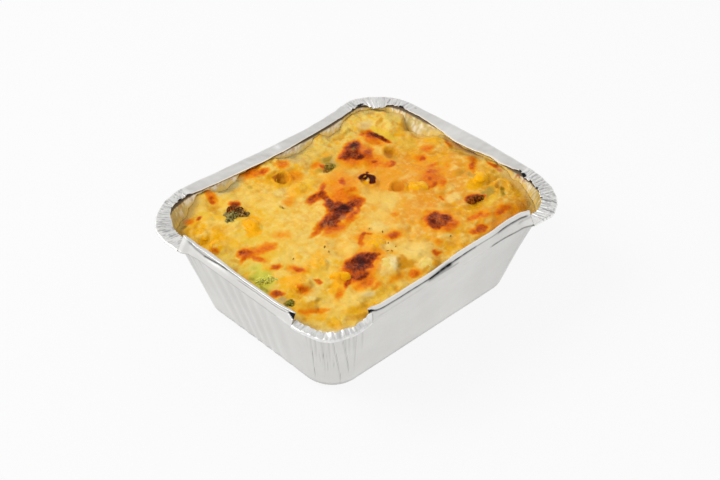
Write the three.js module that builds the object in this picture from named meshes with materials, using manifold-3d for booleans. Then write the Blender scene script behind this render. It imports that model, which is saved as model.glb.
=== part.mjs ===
// A pasta and vegetable bake in its pressed foil tray, with the tray's rim folded in.
// Millimetres, +Z up. The origin is the middle of the tray's underside, on the table.
// X runs along the tray's long side, Y along its short side.

import * as THREE from "three";
import { mergeVertices } from "three/addons/utils/BufferGeometryUtils.js";
import Module from "manifold-3d";

const wasm = await Module();
wasm.setup();

// ---------------------------------------------------------------- driving dimensions

// Foil tray: outline over the rim, ledge that a lid sat on, tapered walls, flat base.
const RIM_LENGTH = 145;
const RIM_WIDTH = 118.6;
const RIM_CORNER_RADIUS = 21.6;
const LEDGE_HEIGHT = 46.7;
const LEDGE_WIDTH = 5;
const BASE_LENGTH = 109;
const BASE_WIDTH = 82.6;
const BASE_CORNER_RADIUS = 13.7;
const BASE_EDGE_RADIUS = 2.6;
const FOIL = 0.4;
const PLEAT_DEPTH = 0.3;
const PLEATS_PER_CORNER = 7;

// Clearance between the food and the foil, and round each piece set into the food.
const FIT_GAP = 0.3;

// Food: how far its surface lies below the ledge, and how far in from the wall it levels out.
const CENTRE_DEPTH = 2.4;
const EDGE_BAND = 15;
const CREST_LIMIT = 0.3;
const RELIEF_STEP = 3.2;

// Towards the wall the food's crests stay lower: by how much, from and to how far in.
const EDGE_CREST = { drop: 0.9, from: 2, to: 8 };

// Berry-sized pieces that show in the crust.
const KERNEL = { length: 9, width: 7.6, thickness: 5 };
const MACARONI = { outer: 3.8, inner: 2.5, length: 10 };
const FLORET_BUD = 1.5;

const RIGHT_ANGLE = Math.PI / 2;
const radians = THREE.MathUtils.degToRad;
const lerp = THREE.MathUtils.lerp;
const smooth = (x) => THREE.MathUtils.smoothstep(x, 0, 1);

function seededRandom(seed) {
  let state = seed;
  return () => {
    state = (state * 1664525 + 1013904223) % 4294967296;
    return state / 4294967296;
  };
}

// ---------------------------------------------------------------- rounded outlines

// A level is a rounded rectangle: half length, half width and corner radius.
const rimLevel = (inset) => ({
  halfX: RIM_LENGTH / 2 - inset,
  halfY: RIM_WIDTH / 2 - inset,
  radius: RIM_CORNER_RADIUS - inset,
});
const baseLevel = (inset) => ({
  halfX: BASE_LENGTH / 2 - inset,
  halfY: BASE_WIDTH / 2 - inset,
  radius: BASE_CORNER_RADIUS - inset,
});
// The wall runs from the base's outline at height 0 to the inner edge of the ledge.
function wallLevel(height) {
  const low = baseLevel(0);
  const high = rimLevel(LEDGE_WIDTH);
  const share = height / LEDGE_HEIGHT;
  return {
    halfX: lerp(low.halfX, high.halfX, share),
    halfY: lerp(low.halfY, high.halfY, share),
    radius: lerp(low.radius, high.radius, share),
  };
}

// Side s has its outward normal at s quarter turns; corner s follows it anticlockwise.
const halfAcross = (level, side) => (side % 2 === 0 ? level.halfX : level.halfY);
const halfAlong = (level, side) => (side % 2 === 0 ? level.halfY : level.halfX) - level.radius;
const direction = (quarters) => new THREE.Vector2(
  Math.cos(quarters * RIGHT_ANGLE), Math.sin(quarters * RIGHT_ANGLE));

// A column is a place round the outline: at `along` (-1 to 1) of a side, or `turn` (0 to 1) of a corner.
function outlinePoint(level, column) {
  const { side } = column;
  if (column.turn === undefined) {
    return direction(side).multiplyScalar(halfAcross(level, side))
      .addScaledVector(direction(side + 1), column.along * halfAlong(level, side));
  }
  return direction(side).multiplyScalar(halfAcross(level, side) - level.radius)
    .addScaledVector(direction(side + 1), halfAcross(level, side + 1) - level.radius)
    .addScaledVector(direction(side + column.turn), level.radius);
}
const outlineNormal = (column) => direction(column.side + (column.turn ?? 0));

// ---------------------------------------------------------------- closed surfaces

// A closed surface from rings of equal length, capped by a fan at each end.
function ringSolid(rings, firstPole, lastPole) {
  const count = rings[0].length;
  const positions = [firstPole, ...rings.flat(), lastPole].flatMap((p) => p.toArray());
  const at = (ring, column) => 1 + ring * count + (column % count);
  const last = 1 + rings.length * count;
  const faces = [];
  for (let j = 0; j < count; j += 1) {
    faces.push(0, at(0, j + 1), at(0, j));
    faces.push(last, at(rings.length - 1, j), at(rings.length - 1, j + 1));
    for (let i = 0; i + 1 < rings.length; i += 1) {
      faces.push(at(i, j), at(i, j + 1), at(i + 1, j + 1));
      faces.push(at(i, j), at(i + 1, j + 1), at(i + 1, j));
    }
  }
  const geometry = new THREE.BufferGeometry();
  geometry.setAttribute("position", new THREE.Float32BufferAttribute(positions, 3));
  geometry.setIndex(faces);
  return geometry;
}

function toSolid(geometry) {
  const bare = geometry.clone();
  bare.deleteAttribute("normal");
  bare.deleteAttribute("uv");
  const merged = mergeVertices(bare, 1e-4);
  return new wasm.Manifold(new wasm.Mesh({
    numProp: 3,
    vertProperties: Float32Array.from(merged.attributes.position.array),
    triVerts: Uint32Array.from(merged.index.array),
  }));
}

function toGeometry(solid) {
  const mesh = solid.getMesh();
  const geometry = new THREE.BufferGeometry();
  geometry.setAttribute("position", new THREE.BufferAttribute(mesh.vertProperties, 3));
  geometry.setIndex(new THREE.BufferAttribute(mesh.triVerts, 1));
  geometry.computeVertexNormals();
  return geometry;
}

// ---------------------------------------------------------------- foil tray

// On sides 2 and 3 the rim's upstand still stands, leaning in and bent over along its top. Distances run
// along the side, and `rise` is how much taller the flap is at each of its ends.
const RAISED_FLAPS = [
  { side: 2, from: -26, to: 36.5, rise: [0.9, 0] },
  { side: 3, from: -46, to: 43.5, rise: [0, 1.7] },
];
const FLAP_END = 1.2;
const SIDE_COLUMNS = 7;

// The folded rim from the ledge's outer edge to its free edge: [inset, height over the ledge].
const FOLDED_FLAT = [[0.2, 0], [-0.35, 0.5], [0.3, 0.95], [3.6, 0.9], [6.8, 0.65]];
const RAISED = [[0.4, 0], [1.4, 2.4], [2.5, 4.7], [3, 4.95], [3.9, 4.75]];
const RISE_SHARES = [0, 0.5, 1, 1, 1];
const FRONT_CORNER = [[0.2, 0], [-0.3, 0.5], [0.5, 1.3], [2, 2], [3.8, 1.7]];
const FRONT_CORNER_SIDE = 2;

function sideColumns(side) {
  const reach = halfAlong(rimLevel(0), side);
  const flap = RAISED_FLAPS.find((f) => f.side === side);
  const distances = [];
  const from = flap ? flap.from : -reach;
  const to = flap ? flap.to : reach;
  if (flap) distances.push(from - FLAP_END, from);
  for (let i = 1; i < SIDE_COLUMNS; i += 1) distances.push(lerp(from, to, i / SIDE_COLUMNS));
  if (flap) distances.push(to, to + FLAP_END);
  return distances.map((distance) => {
    const raised = flap && distance >= flap.from && distance <= flap.to ? 1 : 0;
    const rise = raised ? lerp(...flap.rise, (distance - from) / (to - from)) : 0;
    return { side, along: distance / reach, raised, rise, pleat: 0 };
  });
}

function cornerColumns(side) {
  const steps = PLEATS_PER_CORNER * 2;
  const columns = [];
  for (let i = 0; i <= steps; i += 1) {
    const atEnd = i === 0 || i === steps;
    columns.push({
      side,
      turn: i / steps,
      raised: 0,
      rise: 0,
      front: side === FRONT_CORNER_SIDE && !atEnd,
      pleat: atEnd ? 0 : 1 - 2 * (i % 2),
    });
  }
  return columns;
}

const TRAY_COLUMNS = [0, 1, 2, 3].flatMap((side) => [...sideColumns(side), ...cornerColumns(side)]);

// The middle of the foil's thickness at one column, from the base to the rim's free edge.
function foilProfile(column) {
  const rows = [];
  const add = (level, z, push = 0) => rows.push({ level, z, push });
  const middle = FOIL / 2;
  add(baseLevel(BASE_EDGE_RADIUS), middle);
  add(baseLevel(BASE_EDGE_RADIUS * 0.3), middle + BASE_EDGE_RADIUS * 0.3);
  add(wallLevel(BASE_EDGE_RADIUS * 1.3), BASE_EDGE_RADIUS * 1.3);
  add(wallLevel(LEDGE_HEIGHT / 2), LEDGE_HEIGHT / 2, column.pleat * PLEAT_DEPTH * 0.7);
  add(wallLevel(LEDGE_HEIGHT), LEDGE_HEIGHT - 1, column.pleat * PLEAT_DEPTH);
  add(rimLevel(LEDGE_WIDTH - 1), LEDGE_HEIGHT);
  const lying = column.front ? FRONT_CORNER : FOLDED_FLAT;
  lying.forEach(([inset, height], i) => {
    const [raisedInset, raisedHeight] = RAISED[i];
    const crumple = column.pleat * PLEAT_DEPTH * (i === 0 ? 0 : 1);
    const rise = column.rise * RISE_SHARES[i];
    add(rimLevel(0), LEDGE_HEIGHT + lerp(height, raisedHeight, column.raised) + rise + Math.max(0, crumple),
      -lerp(inset, raisedInset, column.raised) + crumple);
  });
  return rows;
}

// Both faces of the foil, half its thickness to each side of the profile.
function foilFaces(column) {
  const rows = foilProfile(column);
  const normal = outlineNormal(column);
  const reach = rows.map(({ level, push }) => halfAcross(level, 0) + push);
  return rows.map(({ level, z, push }, i) => {
    const before = Math.max(i - 1, 0);
    const after = Math.min(i + 1, rows.length - 1);
    const run = new THREE.Vector2(reach[after] - reach[before], rows[after].z - rows[before].z);
    run.normalize().multiplyScalar(FOIL / 2);
    if (i === 0) run.set(FOIL / 2, 0);
    const place = (sign) => {
      const point = outlinePoint(level, column).addScaledVector(normal, push + sign * run.y);
      return new THREE.Vector3(point.x, point.y, z - sign * run.x);
    };
    return [place(1), place(-1)];
  });
}

function foilTray() {
  const faces = TRAY_COLUMNS.map(foilFaces);
  const rowCount = faces[0].length;
  const ring = (row, face) => faces.map((column) => column[row][face]);
  const rings = [];
  for (let row = 0; row < rowCount; row += 1) rings.push(ring(row, 0));
  for (let row = rowCount - 1; row >= 0; row -= 1) rings.push(ring(row, 1));
  return ringSolid(rings, new THREE.Vector3(0, 0, 0), new THREE.Vector3(0, 0, FOIL));
}

// ---------------------------------------------------------------- crust surface

// Where the food meets the wall, how far below the ledge: [bearing in degrees, depth].
const EDGE_DEPTHS = [
  [-45, 8.4], [-40, 7.2], [-36, 5.4], [-32, 4.2], [-27, 4], [-24, 2.2], [-18, 1.6], [-10, 2.6], [-2, 3.2],
  [4, 3.2], [11, 2.4], [16, 2.6], [20, 4.7], [24, 6.8], [29, 8.6], [33, 8.6], [36, 3], [42, 3.2], [48, 2.5],
  [55, 1.9], [57.5, 2.2], [60, 5.2], [64, 4.8], [66.5, 3], [68.5, 0.9], [70.5, 1], [73, 3.3], [78, 4.7],
  [83, 4.3], [89, 2.8], [93, 1], [107, 1], [109.5, 3.6], [114, 5], [117, 4.4], [119.5, 2], [122.5, 1.8],
  [126, 5], [130, 8], [140, 8.6], [150, 7.2], [165, 4.6], [210, 3.2], [235, 2.6], [285, 3.5], [300, 5],
];

// Pieces that swell the crust, and hollows: [x, y, half length, half width, turn in degrees, height].
const LUMPS = [
  [7, 16, 12, 9, 20, 1.7], [-9, 11, 6, 4, 70, 0.8], [28, 31, 9, 8, 40, 1.9], [3, 42, 13, 6, -12, 2.4],
  [34, -3, 13, 9, -15, 1.4], [-26, -31, 8, 6, 30, 1.3], [19, -30, 9, 7, 20, 1.2], [57, -5, 7, 9, 0, 1.6],
  [-47, -43, 13, 8, -35, 1.5], [-5, -38, 7, 6, 0, 1.6], [-16, -36, 7, 6, 15, 1.1], [40, -40, 14, 5, 8, 1.2],
  [-47, 27, 9, 8, 0, 1.3], [-33, 6, 12, 10, 30, 0.9], [-50, -20, 7, 7, 0, 1.1], [-22, 25, 11, 7, 50, 0.9],
  [52, 36, 9, 5, 60, 2], [58, 44, 6, 5, 0, 1.4], [50, -18, 7, 5, 10, 1.4], [3, -15, 13, 8, 10, 0.9],
  [20, 22, 5, 5, 0, -1.3], [-12, 31, 9, 4, 30, -1.2], [42, 12, 9, 5, -60, -1.5], [-40, -9, 7, 4, 40, -1],
  [8, -43, 10, 4, 0, -1.4], [-36, -46, 6, 4, 30, -1], [30, -17, 8, 4, -20, -1.1], [-24, -14, 8, 4, 60, -0.9],
];

// The crust breaks off along a line, and the pasta behind it lies lower.
const CRUST_BREAK = { x: 44, y: 29, turn: radians(-78), halfLength: 17, drop: 3, width: 2.2 };

// Small unevenness all over, by a seeded draw.
const SMALL_LUMP_COUNT = 130;
const smallLumps = (() => {
  const random = seededRandom(41);
  const draw = (low, high) => low + (high - low) * random();
  return Array.from({ length: SMALL_LUMP_COUNT }, () => [
    draw(-64, 64), draw(-51, 51), draw(3, 6.5), draw(2.5, 4.5), draw(0, 180), draw(-1, 1.1),
  ]);
})();

// Distance inside a level's outline, positive within.
function distanceInside(level, x, y) {
  const beyondX = Math.abs(x) - (level.halfX - level.radius);
  const beyondY = Math.abs(y) - (level.halfY - level.radius);
  const outside = Math.hypot(Math.max(beyondX, 0), Math.max(beyondY, 0));
  return level.radius - outside - Math.min(Math.max(beyondX, beyondY), 0);
}

function edgeDepth(x, y) {
  const bearing = THREE.MathUtils.radToDeg(Math.atan2(y / RIM_WIDTH, x / RIM_LENGTH));
  const around = bearing < EDGE_DEPTHS[0][0] ? bearing + 360 : bearing;
  const stations = [...EDGE_DEPTHS, [EDGE_DEPTHS[0][0] + 360, EDGE_DEPTHS[0][1]]];
  const next = stations.findIndex(([angle]) => angle > around);
  const [fromAngle, fromDepth] = stations[next - 1];
  const [toAngle, toDepth] = stations[next];
  return lerp(fromDepth, toDepth, smooth((around - fromAngle) / (toAngle - fromAngle)));
}

function swelling([centreX, centreY, halfLength, halfWidth, turn, height], x, y) {
  const c = Math.cos(radians(turn));
  const s = Math.sin(radians(turn));
  const along = ((x - centreX) * c + (y - centreY) * s) / halfLength;
  const across = ((y - centreY) * c - (x - centreX) * s) / halfWidth;
  return height * Math.exp(-1.6 * (along * along + across * across));
}

function breakDrop(x, y) {
  const { x: middleX, y: middleY, turn, halfLength, drop, width } = CRUST_BREAK;
  const along = (x - middleX) * Math.cos(turn) + (y - middleY) * Math.sin(turn);
  const past = (y - middleY) * Math.cos(turn) - (x - middleX) * Math.sin(turn);
  const ends = smooth((halfLength - Math.abs(along)) / (halfLength * 0.4));
  return drop * ends * smooth(past / width) * smooth((16 - past) / 10);
}

function crustHeight(x, y) {
  const inside = distanceInside(rimLevel(LEDGE_WIDTH), x, y);
  const levelled = smooth(inside / EDGE_BAND);
  let rise = -lerp(edgeDepth(x, y), CENTRE_DEPTH, levelled);
  for (const lump of LUMPS) rise += swelling(lump, x, y);
  for (const lump of smallLumps) rise += swelling(lump, x, y);
  rise -= breakDrop(x, y);
  const { drop, from, to } = EDGE_CREST;
  const limit = CREST_LIMIT - drop * (1 - smooth((inside - from) / (to - from)));
  const over = Math.max(0, rise - limit + 1);
  return LEDGE_HEIGHT + rise - over + over / (1 + over);
}

// ---------------------------------------------------------------- pieces set into the crust

// Each maker takes `grow`, so that the same shape, made larger, cuts the piece's pocket.

// A sweetcorn kernel: a rounded tooth, broad at its crown and pinched towards its tip.
function kernel(grow) {
  const geometry = new THREE.SphereGeometry(1, 9, 6);
  const position = geometry.attributes.position;
  const point = new THREE.Vector3();
  const squarer = (v) => Math.sign(v) * Math.abs(v) ** 0.8;
  for (let i = 0; i < position.count; i += 1) {
    point.fromBufferAttribute(position, i);
    const taper = 1 - 0.2 * (1 - point.x);
    position.setXYZ(i,
      squarer(point.x) * (KERNEL.length / 2 + grow),
      squarer(point.y) * (KERNEL.width / 2 * taper + grow),
      point.z * (KERNEL.thickness / 2 * taper + grow));
  }
  return toSolid(geometry);
}

// A broccoli floret: a low round head with small buds swelling out of it.
function floret(grow, count, seed) {
  const radius = FLORET_BUD * 0.85 * Math.sqrt(count);
  if (grow > 0) {
    const dome = new THREE.SphereGeometry(radius + FLORET_BUD * 0.4 + grow * 1.5, 10, 6);
    return toSolid(dome.rotateX(RIGHT_ANGLE).scale(1, 1, 0.75));
  }
  const random = seededRandom(seed);
  const buds = Array.from({ length: count }, (_, i) => {
    const height = 1 - (1.2 * (i + 0.5)) / count;
    const angle = i * 2.4 + random();
    const reach = Math.sqrt(1 - height * height);
    return new THREE.Vector3(reach * Math.cos(angle), reach * Math.sin(angle), height);
  });
  const geometry = new THREE.SphereGeometry(1, 12, 8).rotateX(RIGHT_ANGLE);
  const position = geometry.attributes.position;
  const point = new THREE.Vector3();
  for (let i = 0; i < position.count; i += 1) {
    point.fromBufferAttribute(position, i);
    const nearest = Math.min(...buds.map((bud) => bud.distanceTo(point)));
    point.multiplyScalar(radius + FLORET_BUD * (0.4 - Math.min(1, nearest * 1.3) ** 2));
    position.setXYZ(i, point.x, point.y, point.z * 0.75);
  }
  return toSolid(geometry);
}

// A cut cube of potato with softened edges.
function cube(grow, size) {
  const geometry = new THREE.BoxGeometry(1, 1, 1, 3, 3, 3);
  const position = geometry.attributes.position;
  const point = new THREE.Vector3();
  for (let i = 0; i < position.count; i += 1) {
    point.fromBufferAttribute(position, i);
    const most = Math.max(Math.abs(point.x), Math.abs(point.y), Math.abs(point.z));
    const round = lerp(1, most / point.length(), 0.35);
    position.setXYZ(i,
      point.x * round * (size[0] + 2 * grow),
      point.y * round * (size[1] + 2 * grow),
      point.z * round * (size[2] + 2 * grow));
  }
  return toSolid(geometry);
}

// A length of macaroni with its open end at the origin; its pocket is a plain rod, so the bore stays open.
function macaroni(grow) {
  const { outer, inner, length } = MACARONI;
  const edge = 0.5;
  const wall = [
    [outer + grow - edge, -length - grow], [outer + grow, -length - grow + edge],
    [outer + grow, grow - edge], [outer + grow - edge, grow],
  ];
  const bore = [[inner, grow], [inner, -length - grow], wall[0]];
  const rod = [[0, -length - grow], ...wall, [0, grow]];
  const profile = grow > 0 ? rod : [...wall, ...bore];
  const geometry = new THREE.LatheGeometry(profile.map(([x, y]) => new THREE.Vector2(x, y)), 12);
  return toSolid(geometry.rotateX(RIGHT_ANGLE));
}

// Each piece: where it lies, how far its middle is sunk, and its turns about Z, then its own Y and X.
const PIECES = {
  corn: {
    color: 0xf2b21a,
    make: (grow) => kernel(grow),
    at: [
      { x: 54, y: -20.2, sunk: -0.6, turn: 35, tilt: 10 },
      { x: -39.7, y: 21.9, sunk: 0.2, turn: 80, tilt: -8 },
      { x: 29.8, y: -6.2, sunk: 0.6, turn: -30, tilt: 5 },
      { x: -10.7, y: -22, sunk: 0.5, turn: 10, tilt: 0 },
      { x: -36, y: -27.4, sunk: 0.6, turn: -50, tilt: 4, roll: 65 },
      { x: -36.3, y: -15.8, sunk: 0.8, turn: 60, tilt: 0 },
      { x: -50.5, y: -20.7, sunk: 0.4, turn: 20, tilt: 12 },
      { x: -57.5, y: 33, sunk: 0.2, turn: 70, tilt: 12 },
      { x: -57.5, y: 22, sunk: 0.4, turn: 110, tilt: -10 },
      { x: -8, y: 29, sunk: 0.7, turn: 15, tilt: 0 },
    ],
  },
  broccoli: {
    color: 0x6f7f35,
    make: (grow, piece, seed) => floret(grow, piece.buds, seed),
    at: [
      { x: -40.2, y: 33.6, sunk: 1.6, turn: 0, buds: 9 },
      { x: 41.4, y: -29.2, sunk: 1.5, turn: 60, buds: 6 },
      { x: -57.5, y: -8.1, sunk: 2.2, turn: 20, buds: 7 },
      { x: -61, y: -25.5, sunk: 1.4, turn: 0, buds: 5 },
      { x: 12, y: 31.5, sunk: 2, turn: 40, buds: 6 },
    ],
  },
  potato: {
    color: 0xefdc8c,
    make: (grow, piece) => cube(grow, piece.size),
    at: [
      { x: -17.5, y: -35.5, sunk: 2, turn: 38, tilt: 6, size: [10, 8, 7] },
      { x: -5.5, y: -46.5, sunk: 1.4, turn: 10, tilt: -8, size: [8, 6.5, 7] },
      { x: -55, y: -30.5, sunk: 1.8, turn: 25, tilt: 15, size: [7, 6, 6] },
    ],
  },
  macaroni: {
    color: 0xe0a846,
    make: (grow) => macaroni(grow),
    at: [
      { x: -9, y: 38, sunk: -0.7, turn: 225, tilt: 35 },
      { x: 16, y: 11.3, sunk: -0.8, turn: 225, tilt: 20 },
      { x: 22.8, y: -0.5, sunk: -0.6, turn: 215, tilt: 32 },
      { x: 57, y: -30, sunk: -0.3, turn: 200, tilt: 28 },
      { x: 37.5, y: -16, sunk: 0.4, turn: 240, tilt: 22 },
      { x: 40.5, y: 22, sunk: 0.2, turn: 230, tilt: 20 },
    ],
  },
};

function placement(piece) {
  const turned = new THREE.Euler(
    radians(piece.roll ?? 0), radians(piece.tilt ?? 0), radians(piece.turn), "ZYX");
  const matrix = new THREE.Matrix4().makeRotationFromEuler(turned);
  matrix.setPosition(piece.x, piece.y, crustHeight(piece.x, piece.y) - piece.sunk);
  return matrix;
}

// ---------------------------------------------------------------- bake

const CAVITY_COLUMNS = [0, 1, 2, 3].flatMap((side) => [0, 1, 2, 3, 4, 5, 6]
  .map((step) => ({ side, turn: step / 6 })));

// The room inside the foil, clear of the pleats, up to above the food.
function trayRoom() {
  const clear = FOIL / 2 + PLEAT_DEPTH + FIT_GAP;
  const floor = FOIL + FIT_GAP;
  const sections = [
    [baseLevel(BASE_EDGE_RADIUS + FIT_GAP), floor],
    [baseLevel(BASE_EDGE_RADIUS * 0.3 + FIT_GAP), floor + BASE_EDGE_RADIUS * 0.3],
    [wallLevel(BASE_EDGE_RADIUS * 1.3), floor + BASE_EDGE_RADIUS * 1.3],
    [wallLevel(LEDGE_HEIGHT), LEDGE_HEIGHT + CREST_LIMIT + 3],
  ];
  const rings = sections.map(([level, z]) => CAVITY_COLUMNS.map((column) => {
    const point = outlinePoint(level, column).addScaledVector(outlineNormal(column), -clear);
    return new THREE.Vector3(point.x, point.y, z);
  }));
  const top = sections.at(-1)[1];
  return toSolid(ringSolid(rings, new THREE.Vector3(0, 0, floor), new THREE.Vector3(0, 0, top)));
}

// A block under the crust surface, wider than the tray.
function crustBlock() {
  const spanX = RIM_LENGTH;
  const spanY = RIM_WIDTH;
  const countX = Math.round(spanX / RELIEF_STEP);
  const countY = Math.round(spanY / RELIEF_STEP);
  const geometry = new THREE.BoxGeometry(spanX, spanY, 2, countX, countY, 1);
  const position = geometry.attributes.position;
  for (let i = 0; i < position.count; i += 1) {
    const upper = position.getZ(i) > 0;
    position.setZ(i, upper ? crustHeight(position.getX(i), position.getY(i)) : -1);
  }
  return toSolid(geometry);
}

// ---------------------------------------------------------------- the whole meal

const meal = new THREE.Group();

function addNode(name, geometry, color, roughness, metalness) {
  const material = new THREE.MeshStandardMaterial({ color, roughness, metalness });
  const mesh = new THREE.Mesh(geometry, material);
  mesh.name = name;
  meal.add(mesh);
}

addNode("foil_tray", foilTray(), 0xd9dad8, 0.32, 1);

let bake = crustBlock().intersect(trayRoom());
for (const [name, { color, make, at }] of Object.entries(PIECES)) {
  at.forEach((piece, i) => {
    const place = placement(piece);
    const solid = toGeometry(make(0, piece, i + 1)).applyMatrix4(place);
    const pocket = toGeometry(make(FIT_GAP, piece, i + 1)).applyMatrix4(place);
    bake = bake.subtract(toSolid(pocket));
    addNode(`${name}_${i + 1}`, solid, color, 0.5, 0);
  });
}
addNode("pasta_bake", toGeometry(bake), 0xe9c368, 0.6, 0);

export default meal;
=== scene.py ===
"""A pasta and vegetable bake in its foil tray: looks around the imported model."""

import math

import bmesh
import bpy
import numpy as np
from mathutils import Matrix, Vector


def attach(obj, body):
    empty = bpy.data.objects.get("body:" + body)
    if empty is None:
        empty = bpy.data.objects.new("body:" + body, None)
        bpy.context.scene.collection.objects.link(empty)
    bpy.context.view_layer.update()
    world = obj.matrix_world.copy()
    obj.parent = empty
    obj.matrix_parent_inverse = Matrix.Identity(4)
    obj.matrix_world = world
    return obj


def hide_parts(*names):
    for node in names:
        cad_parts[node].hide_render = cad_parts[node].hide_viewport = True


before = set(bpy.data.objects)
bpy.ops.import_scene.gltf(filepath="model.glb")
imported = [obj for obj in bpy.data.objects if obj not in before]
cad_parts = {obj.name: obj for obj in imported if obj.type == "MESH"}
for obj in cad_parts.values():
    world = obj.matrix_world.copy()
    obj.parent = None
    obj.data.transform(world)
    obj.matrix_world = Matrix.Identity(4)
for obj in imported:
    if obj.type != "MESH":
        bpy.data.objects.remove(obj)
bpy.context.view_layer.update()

MM = 0.001

# ---------------------------------------------------------------- sizes, in mm

# Half sizes along X and Y, and corner radius.
RIM_LEVEL = [72.5, 59.3, 21.6]
BASE_LEVEL = [54.5, 41.3, 13.7]
LEDGE_HEIGHT = 46.7
LEDGE_WIDTH = 5.0
BASE_EDGE_RADIUS = 2.6
FOIL = 0.16

# Distances round the rim start on the far right side. REACH is half the straight length of sides 0 and 2,
# and of sides 1 and 3.
REACH = [RIM_LEVEL[1] - RIM_LEVEL[2], RIM_LEVEL[0] - RIM_LEVEL[2]]
CORNER_ARC = RIM_LEVEL[2] * math.pi / 2
SIDE_START = [0.0]
for side_index in range(4):
    SIDE_START.append(SIDE_START[-1] + 2 * REACH[side_index % 2] + CORNER_ARC)
PERIMETER = SIDE_START[4]

# ---------------------------------------------------------------- camera, from the photograph's perspective

CAMERA_PLACE = (-364.24, -383.18, 444.90)
CAMERA_AZIMUTH = -43.638
CAMERA_ELEVATION = 38.233
CAMERA_ROLL = 0.123
CAMERA_FOCAL_PIXELS = 1567.05
IMAGE_WIDTH = 720
SENSOR_WIDTH = 36.0
# The height at which the marks seen in the photograph were noted.
SEEN_HEIGHT = 44.75


def lerp(a, b, t):
    return a + (b - a) * t


def smooth(x):
    x = np.clip(x, 0.0, 1.0)
    return x * x * (3 - 2 * x)


def srgb(red, green, blue):
    """A colour given as 0 to 255 on screen, in the linear values that shaders use."""
    channels = np.array([red, green, blue]) / 255.0
    return np.where(channels <= 0.04045, channels / 12.92, ((channels + 0.055) / 1.055) ** 2.4)


# ---------------------------------------------------------------- noise

# Large odd numbers and a mask that scatter the cells' directions, and how many directions there are.
HASH_X, HASH_Y, HASH_SEED, HASH_MIX = 374761393, 668265263, 974711, 1274126177
HASH_MASK = 0xFFFFFFFF
DIRECTIONS = 65536
# The small random generator that the solids use.
DRAW_MULTIPLIER, DRAW_STEP, DRAW_RANGE = 1664525, 1013904223, 4294967296


def gradient_noise(x, y, seed=0):
    """Smooth noise of about -1 to 1, with one cell to each unit of x and y."""
    x, y = np.broadcast_arrays(np.asarray(x, float), np.asarray(y, float))
    cell_x, cell_y = np.floor(x).astype(np.int64), np.floor(y).astype(np.int64)
    part_x, part_y = x - cell_x, y - cell_y

    def corner(step_x, step_y):
        mixed = (cell_x + step_x) * HASH_X + (cell_y + step_y) * HASH_Y + seed * HASH_SEED
        mixed = ((mixed ^ (mixed >> 13)) * HASH_MIX) & HASH_MASK
        angle = ((mixed ^ (mixed >> 16)) % DIRECTIONS) * (2 * math.pi / DIRECTIONS)
        return np.cos(angle) * (part_x - step_x) + np.sin(angle) * (part_y - step_y)

    blend_x = part_x**3 * (part_x * (part_x * 6 - 15) + 10)
    blend_y = part_y**3 * (part_y * (part_y * 6 - 15) + 10)
    low = lerp(corner(0, 0), corner(1, 0), blend_x)
    high = lerp(corner(0, 1), corner(1, 1), blend_x)
    return 1.5 * lerp(low, high, blend_y)


def layered_noise(x, y, octaves, seed=0, gain=0.5):
    """Layers of noise, each half as wide as the last and weaker by the gain."""
    total, size = 0.0, 1.0
    for octave in range(octaves):
        scale = 2.0**octave
        total = total + size * gradient_noise(x * scale, y * scale, seed + 17 * octave)
        size *= gain
    return total


def seeded_draws(seed):
    """Random shares from 0 to 1, the same for the same seed."""
    state = seed
    while True:
        state = (state * DRAW_MULTIPLIER + DRAW_STEP) % DRAW_RANGE
        yield state / DRAW_RANGE


# ---------------------------------------------------------------- outlines


def outline_place(s):
    """Factors of half_x, half_y and radius, and the normal, at distance s round the rim."""
    s = np.mod(np.asarray(s, float), PERIMETER)
    side = np.clip(np.searchsorted(SIDE_START, s, side="right") - 1, 0, 3)
    reach = np.array(REACH)[side % 2]
    run = s - np.array(SIDE_START)[side]
    along = np.clip(run / reach - 1, -1, 1)
    turn = np.clip((run - 2 * reach) / CORNER_ARC, 0, 1)

    def direction(quarters):
        angle = quarters * math.pi / 2
        return np.stack([np.cos(angle), np.sin(angle)], -1)

    ahead, left = direction(side), direction(side + 1)
    normal = direction(side + turn)
    even = (side % 2 == 0)[..., None]
    on_corner = (turn > 0)[..., None]
    share = np.where(on_corner, 1.0, along[..., None])
    across_x = np.where(even, ahead, left * share)
    across_y = np.where(even, left * share, ahead)
    radius = np.where(on_corner, normal - ahead - left, -left * share)
    return across_x, across_y, radius, normal


def outline_points(place, half_x, half_y, radius):
    across_x, across_y, corner, _ = place
    return across_x * half_x[..., None] + across_y * half_y[..., None] + corner * radius[..., None]


def inset_level(level, inset):
    return [value - inset for value in level]


WALL_TOP = inset_level(RIM_LEVEL, LEDGE_WIDTH)


def wall_level(height):
    return [lerp(low, high, height / LEDGE_HEIGHT) for low, high in zip(BASE_LEVEL, WALL_TOP)]


def signed_gap(a, b):
    """Shortest signed distance round the rim from b to a."""
    return np.mod(a - b + PERIMETER / 2, PERIMETER) - PERIMETER / 2


def between(s, start, end):
    return (signed_gap(s, start) >= 0) & (signed_gap(s, end) <= 0)


def ridge(gap, width):
    """1 at no gap, falling off softly at about the width."""
    return np.exp(-((gap / width) ** 2))


def plateau(gap, width):
    """As a ridge, but flatter on top and with steeper sides."""
    return np.exp(-((gap / width) ** 4))


def at_stations(stations, place):
    """Smoothly between the values given at stations, which stand in rising order."""
    places, values = np.array(stations, float).T
    after = np.clip(np.searchsorted(places, place, side="right"), 1, len(places) - 1)
    share = (place - places[after - 1]) / (places[after] - places[after - 1])
    return lerp(values[after - 1], values[after], smooth(share))


def turned_place(x, y, centre_x, centre_y, turn):
    """Distances along and across a line through the centre, turned by an angle in degrees."""
    c, s = math.cos(math.radians(turn)), math.sin(math.radians(turn))
    return (x - centre_x) * c + (y - centre_y) * s, (y - centre_y) * c - (x - centre_x) * s


# ---------------------------------------------------------------- meshes


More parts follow.
